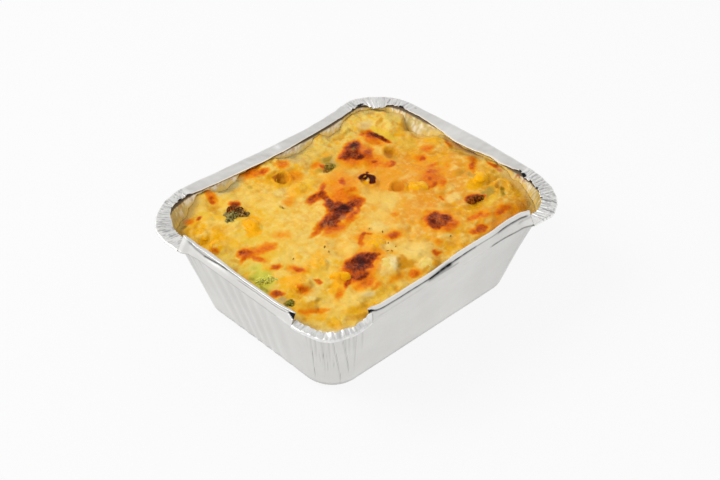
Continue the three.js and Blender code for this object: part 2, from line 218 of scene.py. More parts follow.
def new_mesh(name, vertices, faces):
    mesh = bpy.data.meshes.new(name)
    mesh.from_pydata((np.asarray(vertices) * MM).tolist(), [], faces)
    mesh.validate()
    mesh.polygons.foreach_set("use_smooth", [True] * len(mesh.polygons))
    mesh.update()
    piece = bpy.data.objects.new(name, mesh)
    bpy.context.scene.collection.objects.link(piece)
    return piece


def add_values(piece, name, values):
    attribute = piece.data.attributes.new(name, "FLOAT", "POINT")
    attribute.data.foreach_set("value", np.asarray(values, np.float32).ravel())


def add_colours(piece, name, colours):
    """Stores a colour, or a colour and its strength, for each vertex."""
    attribute = piece.data.attributes.new(name, "FLOAT_COLOR", "POINT")
    full = np.ones((len(colours), 4), np.float32)
    full[:, :colours.shape[1]] = colours
    attribute.data.foreach_set("color", full.ravel())


def clean_mesh(piece):
    """Takes loose vertices away and turns all faces outwards."""
    cleaned = bmesh.new()
    cleaned.from_mesh(piece.data)
    bmesh.ops.delete(cleaned, geom=[v for v in cleaned.verts if not v.link_faces], context="VERTS")
    bmesh.ops.recalc_face_normals(cleaned, faces=cleaned.faces)
    cleaned.to_mesh(piece.data)
    cleaned.free()
    piece.data.update()


# ---------------------------------------------------------------- foil tray

# Where the rim is as seen in the photograph, as distances round it. Side 0 is far right, 1 far left,
# 2 near left and 3 near right; the corners are right, back, left and front after them.
FAR_RIGHT, FAR_LEFT, NEAR_LEFT, NEAR_RIGHT = [SIDE_START[k] + REACH[k % 2] for k in range(4)]
BACK_CORNER = SIDE_START[0] + 2 * REACH[0] + CORNER_ARC / 2
LEFT_CORNER = SIDE_START[1] + 2 * REACH[1] + CORNER_ARC / 2
FRONT_CORNER = SIDE_START[2] + 2 * REACH[0] + CORNER_ARC / 2
RIGHT_CORNER = SIDE_START[3] + 2 * REACH[1] + CORNER_ARC / 2

# The two flaps that still stand, from slit to slit.
RAISED_FLAPS = [(NEAR_LEFT - 28.3, NEAR_LEFT + 38.4), (NEAR_RIGHT - 48.0, NEAR_RIGHT + 43.5)]
SLITS = [edge for flap in RAISED_FLAPS for edge in flap]

# Each pleated stretch of rim: start, end, narrowest and widest facet, how deep its pleats are and how
# crumpled it is.
PLEATED = [
    (RIGHT_CORNER - 21.0, RIGHT_CORNER + 23.5, 1.3, 3.2, 0.85, 0.1),
    (BACK_CORNER - 18.0, BACK_CORNER + 21.5, 0.9, 1.5, 0.55, 0.05),
    (LEFT_CORNER - 22.0, LEFT_CORNER + 26.2, 0.9, 1.9, 0.5, 0.12),
    (FRONT_CORNER - 16.2, FRONT_CORNER + 19.8, 1.4, 4.0, 0.45, 0.05),
]


def crease_places(start, end, low, high, seed):
    """Places from start to end, each between low and high from the last."""
    draws = seeded_draws(seed)
    places = [start]
    while places[-1] < end - low:
        places.append(places[-1] + lerp(low, high, next(draws)))
    places[-1] = end
    return np.array(places)


PLEAT_CREASES = [crease_places(start, end, low, high, 11 + 5 * k)
                 for k, (start, end, low, high, *_) in enumerate(PLEATED)]
WALL_CREASES = [crease_places(start + 1, end - 1, 1.5, 3.6, 31 + 7 * k)
                for k, (start, end, *_) in enumerate(PLEATED)]


def pleats(s):
    """Round the rim: how pleated it is, each facet's puff (0 at its creases), its draw and its crumpling."""
    weight, puff, draw, ripple = (np.zeros_like(s) for _ in range(4))
    for k, (start, end, _, _, depth, crumple) in enumerate(PLEATED):
        creases = PLEAT_CREASES[k]
        near = start + signed_gap(s, start)
        inside = (near > start) & (near < end)
        index = np.clip(np.searchsorted(creases, near, side="right") - 1, 0, len(creases) - 2)
        share = np.clip((near - creases[index]) / (creases[index + 1] - creases[index]), 0, 1)
        draws = seeded_draws(51 + k)
        table = np.array([next(draws) for _ in creases])
        fade = smooth(np.minimum(np.abs(near - start), np.abs(near - end)) / 2.5)
        weight = np.where(inside, fade * depth, weight)
        puff = np.where(inside, 4 * share * (1 - share), puff)
        draw = np.where(inside, table[index], draw)
        ripple = np.where(inside, fade * crumple, ripple)
    return weight, puff, draw, ripple


# Long creases that the photograph shows down the front corner's wall: place from the corner, where each
# starts and ends as a share of the height, how far it runs along the rim for each mm down, width and depth.
# The depth also sets how dark the painted shade in these creases is.
FRONT_CREASES = [
    (-12.4, 0.97, 0.84, -0.02, 0.26, 0.55), (-9.4, 0.68, 0.12, -0.035, 0.24, 0.7),
    (-5.6, 0.62, 0.46, 0.02, 0.26, 0.45), (-3.6, 0.6, 0.5, 0.06, 0.34, 0.6),
    (-5.2, 0.46, 0.4, 0.4, 0.3, 0.5), (-1.4, 0.66, 0.3, 0.0, 0.22, 0.3), (2.0, 0.53, 0.36, 0.02, 0.26, 0.5),
    (1.6, 0.83, 0.08, 0.14, 0.22, 0.6), (7.6, 0.82, 0.22, 0.14, 0.24, 0.65),
    (7.4, 0.8, 0.7, 0.14, 0.42, 0.6), (11.8, 1.0, 0.92, 0.0, 0.34, 0.6), (6.4, 0.97, 0.86, 0.0, 0.3, 0.45),
    (4.2, 0.99, 0.9, 0.1, 0.3, 0.4), (15.4, 0.95, 0.82, 0.05, 0.3, 0.3),
]
# Soft upright flutes pressed into the near left wall: place from the middle of the side, width and depth.
NEAR_LEFT_FLUTES = [
    (-27, 3.0, 0.35), (-18, 2.4, 0.5), (-9.5, 2.2, 0.65), (-2.5, 2.0, 0.6), (5, 2.2, 0.6), (13, 2.6, 0.45),
    (24, 3.0, 0.3),
]
# Broad shallow dents of the near right wall: place, height, half width, half height and depth.
NEAR_RIGHT_DENTS = [(-9, 37, 8, 5, 0.9), (14, 20, 12, 8, 0.35), (-32, 26, 8, 10, -0.3), (30, 30, 10, 9, 0.3)]


# How far the rim's outer edge stands out from its plain outline, and how wide the band folded in from it
# is, at distances round the rim: the tray has been handled.
RIM_WANDER = [
    (0, -0.9), (7, 0), (18, 0.4), (34, 0.9), (48, 0.4), (60, -0.3), (70, -0.9), (80, -1.4), (95, -1),
    (101, 0), (108, 1.2), (114, 0.7), (120, -0.5), (130, -1.5), (140, -2), (155, -1.6), (166, -1.3),
    (176, -0.6), (188, 0), (200, 0.9), (209, 1), (214, -0.1), (224, -0.6), (232, 0.1), (240, 1.4),
    (248, 2.3), (256, 2), (260, 0.2), (266, -0.4), (320, -0.4), (328, 0), (337, 1.3), (346, 0.4),
    (362, -1.2), (415, -1.3), (431, -1.4), (443, -0.6), (450, 1.4), (459, 2.1), (465, 0.9), (470, 0),
    (476, -1), (484, -1.6), (PERIMETER, -0.9),
]
BAND_WIDTHS = [
    (0, 6.6), (3, 6.2), (8, 4.4), (12, 5.4), (18, 6.6), (23, 6.0), (28, 6.6), (33, 7.7), (38, 8.4),
    (43, 8.6), (48, 8.0), (53, 6.9), (58, 6.2), (63, 5.7), (68, 5.3), (73, 5.6), (78, 5.5), (83, 5.3),
    (88, 6), (94, 8.3), (99, 8.6), (104, 5.8), (108, 5.0), (113, 5.2), (121, 5.4), (139, 5.9), (157, 6.9),
    (182, 6.8), (192, 6.3), (200, 5.8), (206, 5), (214, 5), (220, 4.8), (226, 5.8), (234, 7), (245, 6.8),
    (258, 5.8), (448, 5.8), (460, 6.6), (475, 6.8), (484, 6.8), (PERIMETER, 6.6),
]
# How far the far sides reach from the back corner, and how softly they end.
FAR_REACH, FAR_FADE = 125, 8


def along_rim(stations, s):
    return at_stations(stations, np.mod(s, PERIMETER))


def far_share(s):
    """1 along the far sides and their corners, 0 along the near ones."""
    gap = signed_gap(s, BACK_CORNER)
    return smooth((gap + FAR_REACH) / FAR_FADE) * smooth((FAR_REACH - gap) / FAR_FADE)


def wall_shift(s, z):
    """How far the wall stands out from its plain taper, and how dark the painted shade in its creases is."""
    height = z / LEDGE_HEIGHT
    shift = 0.16 * layered_noise(s / 17.0, z / 30.0, 2, 5) * smooth(height * 3)
    shift = shift + 0.05 * layered_noise(s / 5.0, z / 5.0, 2, 6)
    far = far_share(s)
    shift = shift + far * 0.11 * layered_noise(s / 2.8, z / 17.0, 2, 7)
    shift = shift + far * along_rim(RIM_WANDER, s) * smooth((height - 0.45) / 0.5)
    dark = np.zeros_like(shift)
    for k, creases in enumerate(WALL_CREASES):
        draws = seeded_draws(71 + k)
        for place in creases:
            depth = lerp(0.06, 0.22, next(draws))
            foot = lerp(0.15, 0.8, next(draws))
            slant = lerp(-0.06, 0.06, next(draws))
            gap = signed_gap(s, place + slant * (LEDGE_HEIGHT - z))
            reach = smooth((height - foot) / 0.3)
            groove = ridge(gap, 0.55) * reach
            shift = shift - depth * groove + 0.5 * depth * ridge(gap - 1.1, 0.8) * reach
            dark = np.maximum(dark, 0.16 * groove)
    for place, top, bottom, slant, width, depth in FRONT_CREASES:
        wander = 0.45 * gradient_noise(z / 7.0, place, 3)
        gap = signed_gap(s, FRONT_CORNER + place + slant * (top * LEDGE_HEIGHT - z) + wander)
        reach = smooth((height - bottom) / 0.06) * smooth((top - height) / 0.05)
        broken = 0.4 + 0.6 * smooth(0.6 + 1.4 * gradient_noise(z / 3.0, place * 3.1, 8))
        groove = ridge(gap, width) * reach
        shift = shift - 0.3 * depth * groove + 0.12 * depth * ridge(gap - 0.9, 0.7) * reach
        dark = np.maximum(dark, depth * broken * groove)
    for place, width, depth in NEAR_LEFT_FLUTES:
        lean = 0.06 * (LEDGE_HEIGHT - z)
        flute = ridge(signed_gap(s, NEAR_LEFT + place + lean), width)
        shift = shift - depth * flute * (0.6 + 0.4 * smooth(height * 2)) * smooth((1.02 - height) * 6)
    for place, level, wide, tall, depth in NEAR_RIGHT_DENTS:
        inside = (signed_gap(s, NEAR_RIGHT + place) / wide) ** 2 + ((z - level) / tall) ** 2
        shift = shift - depth * np.exp(-inside)
    return shift, dark


# Where something of the rim swells: place, half length and how much. The near left flap's hem is wider, the
# flaps' ends stand higher, the far sides' bands are lifted and the near flaps are pinched in.
WIDE_HEM = [(NEAR_LEFT - 13, 9, 0.9)]
HIGH_ENDS = [(SLITS[0], 4, 1.7), (SLITS[1], 5, 1.2), (SLITS[2], 4, 1.5)]
LIFTS = [
    (FAR_LEFT + 1.5, 2.2, 0.14), (FAR_LEFT + 7, 5, -0.12), (FAR_RIGHT + 6, 9, 0.2), (FAR_LEFT + 22, 6, 0.15),
]
PINCHES = [(NEAR_RIGHT - 6, 6, 0.6), (NEAR_LEFT - 8, 9, 0.3)]


def swells(s, places):
    return sum(amount * ridge(signed_gap(s, place), half_length) for place, half_length, amount in places)


def rim_bends(s):
    """How the upstand is bent at each place: lean, end angle, straight height and length."""
    weight, puff, draw, ripple = pleats(s)
    slow = layered_noise(s / 14.0, 0.3, 2, 9)
    fine = layered_noise(s / 2.2, 0.7, 2, 12)
    raised = np.zeros_like(s)
    for start, end in RAISED_FLAPS:
        raised = np.where(between(s, start, end), 1.0, raised)
    front = np.where(between(s, SLITS[1], SLITS[2]), 1.0, 0.0)
    lean = np.zeros_like(s) + 2.0
    finish = 97.0 + 1.5 * slow + weight * (14 * (draw - 0.5) + 5 * fine)
    straight = 0.45 + 0.08 * slow + weight * (0.3 * draw + 0.15 * puff)
    width = along_rim(BAND_WIDTHS, s)
    length = width + 0.15 + straight + weight * (0.5 * (draw - 0.6) - 0.3 * (1 - puff) + 0.25 * fine)
    # The front corner's upstand is gathered, shorter, and stands at a slope.
    lean = lerp(lean, 4.0 + 12 * (draw - 0.5), front)
    slope = lerp(85.0, 63.0, smooth((signed_gap(s, FRONT_CORNER) + 3) / 6))
    finish = lerp(finish, slope + 14 * (draw - 0.5) + 6 * fine, front)
    straight = lerp(straight, 0.9 + 0.4 * draw, front)
    short = 0.9 * ridge(signed_gap(s, FRONT_CORNER + 8), 13)
    length = lerp(length, 5.1 - short + 1.0 * (draw - 0.5) - 0.5 * (1 - puff) * weight + 0.3 * fine, front)
    # Next to the near right flap it still stands up.
    upright = front * ridge(signed_gap(s, SLITS[2]), 2.6)
    finish, straight, length = finish - 45 * upright, straight + 2.2 * upright, length + 1.6 * upright
    # The raised flaps stand 5 to 6.5 mm high, turn in along their top and close up at their ends.
    end_gap = np.min([np.abs(signed_gap(s, slit)) for slit in SLITS], axis=0)
    rise = 1.1 * smooth((signed_gap(s, NEAR_RIGHT) + 15) / 20) * between(s, SLITS[2], SLITS[3])
    rise = rise + 0.7 * smooth((signed_gap(s, NEAR_RIGHT) - 22) / 12) * between(s, SLITS[2], SLITS[3])
    rise = rise + swells(s, HIGH_ENDS)
    lean = lerp(lean, 25.0 + 1.5 * slow, raised)
    finish = lerp(finish, 108.0 + 3 * slow + 24 * ridge(end_gap, 2.2), raised)
    straight = lerp(straight, 5.3 + rise + 0.1 * slow, raised)
    length = lerp(length, 6.55 + rise + 0.1 * slow + swells(s, WIDE_HEM), raised)
    return {"lean": lean, "finish": finish, "straight": straight, "length": length, "raised": raised,
            "front": front, "weight": weight, "puff": puff, "draw": draw, "ripple": ripple}


def ledge_shift(s):
    """How far the ledge's outer edge is pushed out."""
    return along_rim(RIM_WANDER, s) + 0.08 * gradient_noise(s / 3.0, 0.5, 24)


# Painted shadow lines on the raised flaps, each also pressed in as a slight groove: side middle, from and to
# along the rim, how far below the fold at each end, width and darkness. The second list is measured up from
# the ledge instead.
FOLD_SHADOW_LINES = [
    (NEAR_RIGHT, -46, -13, 1.7, 1.75, 0.42, 1.0), (NEAR_RIGHT, -16, -2, 1.9, 2.2, 0.8, 1.1),
    (NEAR_RIGHT, -4, 12, 2.1, 1.7, 0.44, 1.0), (NEAR_RIGHT, 10, 27, 1.7, 1.65, 0.34, 0.5),
    (NEAR_RIGHT, -13, 1, 2.6, 3.7, 0.3, 0.5), (NEAR_RIGHT, 25, 42, 1.9, 1.9, 0.5, 0.9),
    (NEAR_RIGHT, 37, 44, 3.6, 2.6, 0.5, 0.3), (NEAR_LEFT, -25, -14, 0.7, 2.0, 0.5, 0.6),
    (NEAR_LEFT, -16, -1, 2.0, 0.9, 0.5, 0.9), (NEAR_LEFT, -1, 4, 0.9, 0.6, 0.4, 0.4),
    (NEAR_LEFT, 3, 36, 0.6, 0.4, 0.26, 0.7), (NEAR_LEFT, 6, 34, 1.6, 1.4, 0.24, 0.5),
]
FOOT_SHADOW_LINES = [
    (NEAR_RIGHT, 20, 46, 0.7, 0.7, 0.34, 0.75), (NEAR_RIGHT, -44, -20, 1.3, 1.5, 0.4, 0.12),
    (NEAR_LEFT, -24, 30, 0.5, 0.6, 0.3, 0.2),
]


def flap_shadow_lines(s, travelled, fold):
    """Painted shadow lines on the flaps at a height along the foil, where their fold is at the given height.
    """
    dark = np.zeros_like(s)
    measured = [(line, fold - travelled) for line in FOLD_SHADOW_LINES] + [(line, travelled) for line in FOOT_SHADOW_LINES]
    for (middle, start, end, low, high, width, strength), height in measured:
        along = signed_gap(s, middle)
        share = np.clip((along - start) / (end - start), 0, 1)
        ends = smooth(np.minimum(along - start, end - along) / 2.0 + 0.5)
        broken = 0.8 + 0.2 * smooth(0.5 + 1.5 * gradient_noise(s / 2.5, low, 14))
        dark = np.maximum(dark, strength * broken * ends * ridge(height - lerp(low, high, share), width))
    return dark


# Painted shade of bold creases across the pleated corners: place, from and to along the foil, slant, width
# and darkness.
BOLD_CREASE_SHADES = [
    (467.4, 1.0, 7.6, 0.05, 0.34, 0.85), (460.2, 0.8, 6.0, 0.1, 0.36, 0.8),
    (463.6, 3.6, 7.4, 0.0, 0.26, 0.5), (475.0, 3.0, 7.4, -0.1, 0.26, 0.6),
    (484.8, 1.6, 6.6, 0.1, 0.26, 0.5), (87.4, 2.4, 5.8, 0.35, 0.34, 0.6), (77.8, 1.6, 5.5, 0.4, 0.34, 0.5),
    (72.3, 1.6, 5.3, 0.35, 0.3, 0.45), (103.0, 2.0, 6.0, -0.1, 0.3, 0.4), (234.5, 1.2, 5.6, 0.1, 0.3, 0.4),
    (241.5, 2.4, 6.4, -0.2, 0.32, 0.45), (216.5, 1.6, 5.0, 0.1, 0.28, 0.4),
]


def bold_crease_shade(s, travelled):
    dark = np.zeros_like(s)
    for place, start, end, slant, width, strength in BOLD_CREASE_SHADES:
        wander = 0.5 * gradient_noise(travelled / 1.6, place, 15)
        along = smooth((travelled - start) / 0.8 + 0.5) * smooth((end - travelled) / 0.8 + 0.5)
        gap = signed_gap(s, place + slant * travelled + wander)
        dark = np.maximum(dark, strength * along * ridge(gap, width))
    return dark


# Painted shadow where the folded rim seems to open: place, half length, where along the foil, half height.
RIM_GAP_SHADOWS = [
    (7.4, 1.0, 5.2, 0.9), (4.6, 1.7, 6.4, 1.5), (80, 2.0, 5.9, 0.6), (106, 2.3, 5.5, 0.6),
    (213, 1.6, 5.5, 0.5), (207.5, 1.4, 5.6, 0.45), (481, 1.2, 7.5, 0.9), (471, 0.8, 7.5, 0.7),
]


def rim_gap_shadows(s, travelled):
    dark = np.zeros_like(s)
    for place, half_length, middle, half_height in RIM_GAP_SHADOWS:
        reach = np.hypot(signed_gap(s, place) / half_length, (travelled - middle) / half_height)
        dark = np.maximum(dark, smooth((1.25 - reach) * 2.5))
    return dark


# How wide the folded hem of each raised flap is. A flap lies within SIDE_REACH of its side's middle.
HEM_WIDTHS = [(NEAR_LEFT, 0.35), (NEAR_RIGHT, 1.65)]
SIDE_REACH = 60
# Where a raised flap gapes at its end: place of the end, how far in, and from and to above the fold, at the
# end and furthest in.
GAPING_ENDS = [(SLITS[1], 3.6, (-3.0, 0.2), (-1.5, -0.8)), (SLITS[2], 4.4, (-2.2, -0.3), (-1.95, -1.5))]


def hem_share(s, travelled, fold):
    """1 on the hem that is folded double along a raised flap's top."""
    hem = np.zeros_like(s)
    for middle, width in HEM_WIDTHS:
        on_side = np.abs(signed_gap(s, middle)) < SIDE_REACH
        hem = np.where(on_side, smooth((travelled - fold + width) / 0.25), hem)
    return hem


def open_ends(s, travelled, fold):
    """1 inside the small opening at the end of a raised flap, which is pressed in a little and painted dark
    as shadow.
    """
    opening = np.zeros_like(s)
    for end, reach, at_end, furthest in GAPING_ENDS:
        share = np.clip(np.abs(signed_gap(s, end)) / reach, 0, 1)
        low, high = (lerp(first, last, smooth(share)) for first, last in zip(at_end, furthest))
        inside = smooth((1 - share) * 6) * smooth((travelled - fold - low) * 5)
        opening = np.maximum(opening, inside * smooth((high - travelled + fold) * 5))
    return opening


def in_pleats(s):
    inside = np.zeros(len(s), bool)
    for start, end, *_ in PLEATED:
        inside |= between(s, start, end)
    return inside


# Spacing of the tray's columns of vertices on the far sides, the near sides, in pleats and beside a slit,
# the least spacing that is kept, and how far a slit's two lips stand from it.
FAR_COLUMN, NEAR_COLUMN, PLEAT_COLUMN, CLOSEST_COLUMN = 0.95, 1.2, 0.45, 0.17
SLIT_COLUMNS = np.arange(0.35, 4.0, 0.35)
LIP_GAP = 1e-4
# Heights of its rows up the wall, and how many more rows the rim has.
WALL_HEIGHTS = [*np.linspace(3.2, 36, 11), 38, 40, 41.6, 42.8, 43.6, 44.2, 44.6, 45, 45.4, 45.8]
RIM_ROWS = 32


def tray_columns():
    """Distances round the rim, close together where it is pleated, with both lips of each slit."""
    far, near = np.arange(0, SIDE_START[2], FAR_COLUMN), np.arange(SIDE_START[2], PERIMETER, NEAR_COLUMN)
    plain = np.concatenate([far, near])
    pleated = [np.arange(start, end, PLEAT_COLUMN) for start, end, *_ in PLEATED]
    s = np.unique(np.round(np.mod(np.concatenate([plain[~in_pleats(plain)], *pleated]), PERIMETER), 3))
    keep = np.ones(len(s), bool)
    keep[1:] = np.diff(s) > CLOSEST_COLUMN
    s = s[keep]
    for slit in SLITS:
        s = s[np.abs(signed_gap(s, slit)) > SLIT_COLUMNS[-1] + 0.2]
    s = np.concatenate([s, *[slit + side * SLIT_COLUMNS for slit in SLITS for side in (-1, 1)]])
    lips = np.mod(np.array([[slit - LIP_GAP, slit + LIP_GAP] for slit in SLITS]).ravel(), PERIMETER)
    return np.sort(np.concatenate([np.mod(s, PERIMETER), lips]))


# Colours of the baked-on film inside the tray, as they look, 0 to 255; "bright" also serves for painted
# glints and "dark" for painted shade under the folded band.
FILM = {
    "grey": (214, 204, 168), "bright": (252, 247, 234), "olive": (176, 160, 92), "yellow": (214, 194, 112),
    "cheese": (228, 194, 88), "brown": (178, 98, 18), "dark": (84, 60, 8), "cream": (238, 220, 192),
    "ochre": (176, 148, 36),
}
FILM_STRENGTH = 0.92
# Where the film is yellower than elsewhere or carries painted glints: place round the rim, half length,
# colour and strength.
FILM_PATCHES = [
    (LEFT_CORNER, 24, "yellow", 0.8), (BACK_CORNER, 14, "yellow", 0.5), (RIGHT_CORNER, 24, "yellow", 0.8),
    (68, 16, "yellow", 0.9), (206, 3.4, "bright", 0.9), (190, 7, "bright", 0.75), (153, 5, "bright", 0.35),
    (127, 4, "bright", 0.6), (107, 3.5, "bright", 0.6), (86, 3.5, "bright", 0.75), (0, 4, "bright", 0.5),
    (RIGHT_CORNER - 6, 19, "ochre", 0.85), (LEFT_CORNER + 6, 20, "ochre", 0.8),
]
# Where the film shows fewer painted glints: place and half length.
COVERED = [(RIGHT_CORNER - 6, 20), (LEFT_CORNER + 6, 20)]
# Where bits of brown bake onto the far right wall, from its middle, and how low. Above FILM_TOP the film is
# painted dark as shade under the folded band.
BROWN_SPAN, BROWN_FOOT = (-36, 14), 41
FILM_TOP = 45.3


def food_edge(s):
    """How high the food stands against the wall."""
    points = outline_points(outline_place(s), *wall_level(np.full_like(s, LEDGE_HEIGHT - 4)))
    return np.minimum(crust_height(points[:, 0], points[:, 1]), EDGE_ROOF)


def inner_film(s, z, food):
    """Colour and strength of the film inside: wrinkled with painted glints, cheesy just over the food and
    painted dark as shade at its top.
    """
    streak = layered_noise(s / 3.4, z / 6.0, 3, 41, 0.65)
    wrinkle = layered_noise((s + 0.4 * z) / 0.9, z / 5.0, 2, 43, 0.6)
    colour = np.broadcast_to(srgb(*FILM["grey"]), (len(s), 3)).copy()

    def lay(name, strength):
        nonlocal colour
        colour = lerp(colour, srgb(*FILM[name]), np.clip(strength, 0, 1)[:, None])

    for place, half_length, name, strength in FILM_PATCHES:
        lay(name, strength * plateau(signed_gap(s, place), half_length))
    covered = np.max([plateau(signed_gap(s, place), half) for place, half in COVERED], axis=0)
    # Painted glints where the streak noise is high and the wrinkle noise low, fewer where the film covers
    # more.
    lay("bright", 0.55 * smooth((streak - 0.08) * 2.4) * (1 - 0.7 * covered))
    lay("olive", 0.6 * smooth((-streak - 0.08) * 2.4))
    lay("olive", 0.55 * smooth((wrinkle - 0.1) * 3))
    lay("bright", 0.35 * smooth((-wrinkle - 0.15) * 3) * (1 - 0.4 * covered))
    along = signed_gap(s, FAR_RIGHT)
    spots = layered_noise(s / 2.0, z / 2.0, 2, 42)
    browned = smooth((along - BROWN_SPAN[0]) / 5) * smooth((BROWN_SPAN[1] - along) / 6)
    lay("brown", 0.95 * smooth(spots * 3) * browned * smooth((z - BROWN_FOOT) / 2))
    lay("brown", 0.5 * smooth((spots - 0.2) * 3) * smooth((z - 43) / 1.5))
    lay("cheese", 0.9 * (1 - smooth((z - food - 0.2 + 1.6 * streak + 0.8 * wrinkle) / 2.2)))
    # Painted shade under the folded band, but not at the front corner.
    under_band = 1 - ridge(signed_gap(s, FRONT_CORNER) / 8, 2.6)
    lay("dark", under_band * smooth((z - FILM_TOP + 0.2 * gradient_noise(s / 1.6, 0.5, 44)) / 0.4))
    return np.column_stack([colour, np.full(len(s), FILM_STRENGTH)])


def lip_stain(s, share):
    """Colour and strength of the cream stain near the far bands' free edge, at a share of the way to it."""
    colour = np.broadcast_to(srgb(*FILM["cream"]), (len(s), 3))
    far_left = ridge(signed_gap(s, FAR_LEFT + 12), 34.0)
    far_right = ridge(signed_gap(s, FAR_RIGHT + 16), 22.0)
    fold = 0.9 * ridge(signed_gap(s, FAR_RIGHT - 16), 11.0)
    strength = np.maximum(far_left, far_right) * smooth((share - 0.9) / 0.06) * 0.85
    strength = np.maximum(strength, fold * smooth((share - 0.8) / 0.1) * 0.6)
    return np.column_stack([colour, strength])


# The base's inner panel stands this high, between rows at these insets from the base's outline. Its outer
# edge is rounded in these many steps.
PANEL_RISE = 0.5
BASE_INSETS = [(9.0, PANEL_RISE), (8.4, PANEL_RISE), (7.8, 0.0), (BASE_EDGE_RADIUS + 1.0, 0.0)]
EDGE_STEPS = 5
# Rows across the ledge: inset from the rim, and how far under the ledge's height.
LEDGE_ROWS = [(4.5, 0.65), (3.6, 0.3), (2.4, 0.12), (1.2, 0.0)]
# How far in from the ledge's edge the upstand starts.
UPSTAND_INSET = 0.35


def foil_profile(s):
    """Rows of the foil's middle surface, from the base's middle panel to the rim's free edge."""
    one = np.ones_like(s)
    food = food_edge(s)
    bends = rim_bends(s)
    weight, puff, draw = bends["weight"], bends["puff"], bends["draw"]
    raised, front = bends["raised"], bends["front"]
    rows = []

    def add(level, z, push=0.0, painted_shade=0.0, film=None, shine=0.0, share=0.0):
        rows.append({
            "level": [value * one for value in level], "height": z * one, "push": push * one,
            "painted_shade": painted_shade * one, "film": inner_film(s, z * one, food) if film is None else film,
            "shine": shine * one, "stain": lip_stain(s, share),
        })

    for inset, rise in BASE_INSETS:
        add(inset_level(BASE_LEVEL, inset), FOIL / 2 + rise)
    foot_shift, _ = wall_shift(s, 2.0 * one)
    for step in range(EDGE_STEPS):
        angle = math.pi / 2 * step / EDGE_STEPS
        level = inset_level(BASE_LEVEL, BASE_EDGE_RADIUS * (1 - math.sin(angle) * 0.93))
        add(level, FOIL / 2 + BASE_EDGE_RADIUS * (1 - math.cos(angle)), foot_shift * step / EDGE_STEPS)
    # The near right wall bulges out under its rim and is painted darker towards the right corner as shade.
    # The front corner's rim dips.
    along_near_right = signed_gap(s, NEAR_RIGHT + 8)
    bulge = 1.7 * plateau(along_near_right + 12, 30)
    right_wall_shade = 0.1 * smooth((along_near_right - 8) / 45) * smooth((62 - along_near_right) / 8)
    dip = 1.1 * ridge(signed_gap(s, FRONT_CORNER + 1), 9.0)
    for z in WALL_HEIGHTS:
        shift, dark = wall_shift(s, z * one)
        add(wall_level(z), z, shift + bulge * smooth((z / LEDGE_HEIGHT - 0.45) * 2), np.maximum(dark, right_wall_shade))
    shift, dark = wall_shift(s, (LEDGE_HEIGHT - 0.9) * one)
    out = ledge_shift(s)
    for inset, drop in LEDGE_ROWS:
        share = 1 - inset / LEDGE_WIDTH
        sag = 0.18 * gradient_noise(s / 9.0, inset, 6) + weight * 0.3 * (puff - 0.5)
        add(inset_level(RIM_LEVEL, inset), LEDGE_HEIGHT - drop + sag * share - dip * share,
            lerp(shift + bulge, out, share), dark * (1 - share))
    # The upstand, by adding up short steps along its bends.
    lift, pinch = swells(s, LIFTS), swells(s, PINCHES)
    inset, height = UPSTAND_INSET * one, 0.0 * one
    step_share = np.concatenate([np.linspace(0, 0.14, 7), np.linspace(0.14, 1, RIM_ROWS - 6)[1:]])
    # Painted shade in the pleats' valleys, and on some facets by how each is bent.
    valley = smooth((0.6 - puff) / 0.6)
    painted_shade = weight * (valley * (0.25 + 0.75 * draw) + 0.5 * np.clip(0.45 - draw, 0, 1))
    ridge_light = front * smooth((0.4 - puff) / 0.4) * smooth((draw - 0.5) * 5)
    on_near_right = np.abs(signed_gap(s, NEAR_RIGHT)) < SIDE_REACH
    # The band's underside gets the dark film colour as painted shade, but not on the raised flaps or the
    # front corner.
    under_strength = 0.96 * (1 - raised) * (1 - front)
    under = np.column_stack([np.broadcast_to(srgb(*FILM["dark"]), (len(s), 3)), under_strength])
    for i, share in enumerate(step_share):
        travelled = share * bends["length"]
        if i:
            step = travelled - before
            opening = smooth(travelled / 0.75)
            turning = smooth((travelled - bends["straight"]) / (0.9 - 0.35 * raised))
            angle = np.radians(lerp(lerp(-90.0, bends["lean"], opening), bends["finish"], turning * opening))
            inset = inset + np.sin(angle) * step
            height = height + np.cos(angle) * step
        before = travelled
        puffed = weight * (0.4 * (puff - 0.6) * smooth(share * 2.5))
        ripple = 0.06 * gradient_noise(s / 2.6, share * 2.5, 21)
        ripple = ripple + bends["ripple"] * layered_noise(s / 1.3, travelled / 4.0, 2, 22, 0.6)
        top_lift = lift * smooth((share - 0.2) * 2) + puffed + ripple * smooth(share * 3)
        fold = bends["straight"]
        in_pinch = pinch * ridge(travelled - fold + 1.4, 1.1) * raised
        lines = flap_shadow_lines(s, travelled, fold) * raised
        gape = open_ends(s, travelled, fold) * raised
        gap_shadows = rim_gap_shadows(s, travelled) * (1 - raised)
        bold = bold_crease_shade(s, travelled) * (1 - raised)
        # Painted shade in thin lines across the crumpled stretches of rim.
        crumple_shade = layered_noise(s / 0.8, travelled / 3.2, 2, 27, 0.6)
        crumple_shade = 0.36 * smooth((crumple_shade - 0.22) * 4) * np.clip(bends["ripple"] * 9, 0, 1)
        crumple_shade = crumple_shade * smooth(travelled - 0.6)
        broken = 0.35 + 0.65 * smooth(0.6 + 1.6 * gradient_noise(s / 1.3, travelled / 1.8, 29))
        hem = raised * hem_share(s, travelled, fold)
        bead = 0.22 * ridge(travelled - 0.55, 0.4) * (1 - 0.8 * raised) * (1 - 0.5 * front)
        bead = bead + 0.16 * raised * ridge(travelled - fold - 0.2, 0.35) + 0.2 * hem
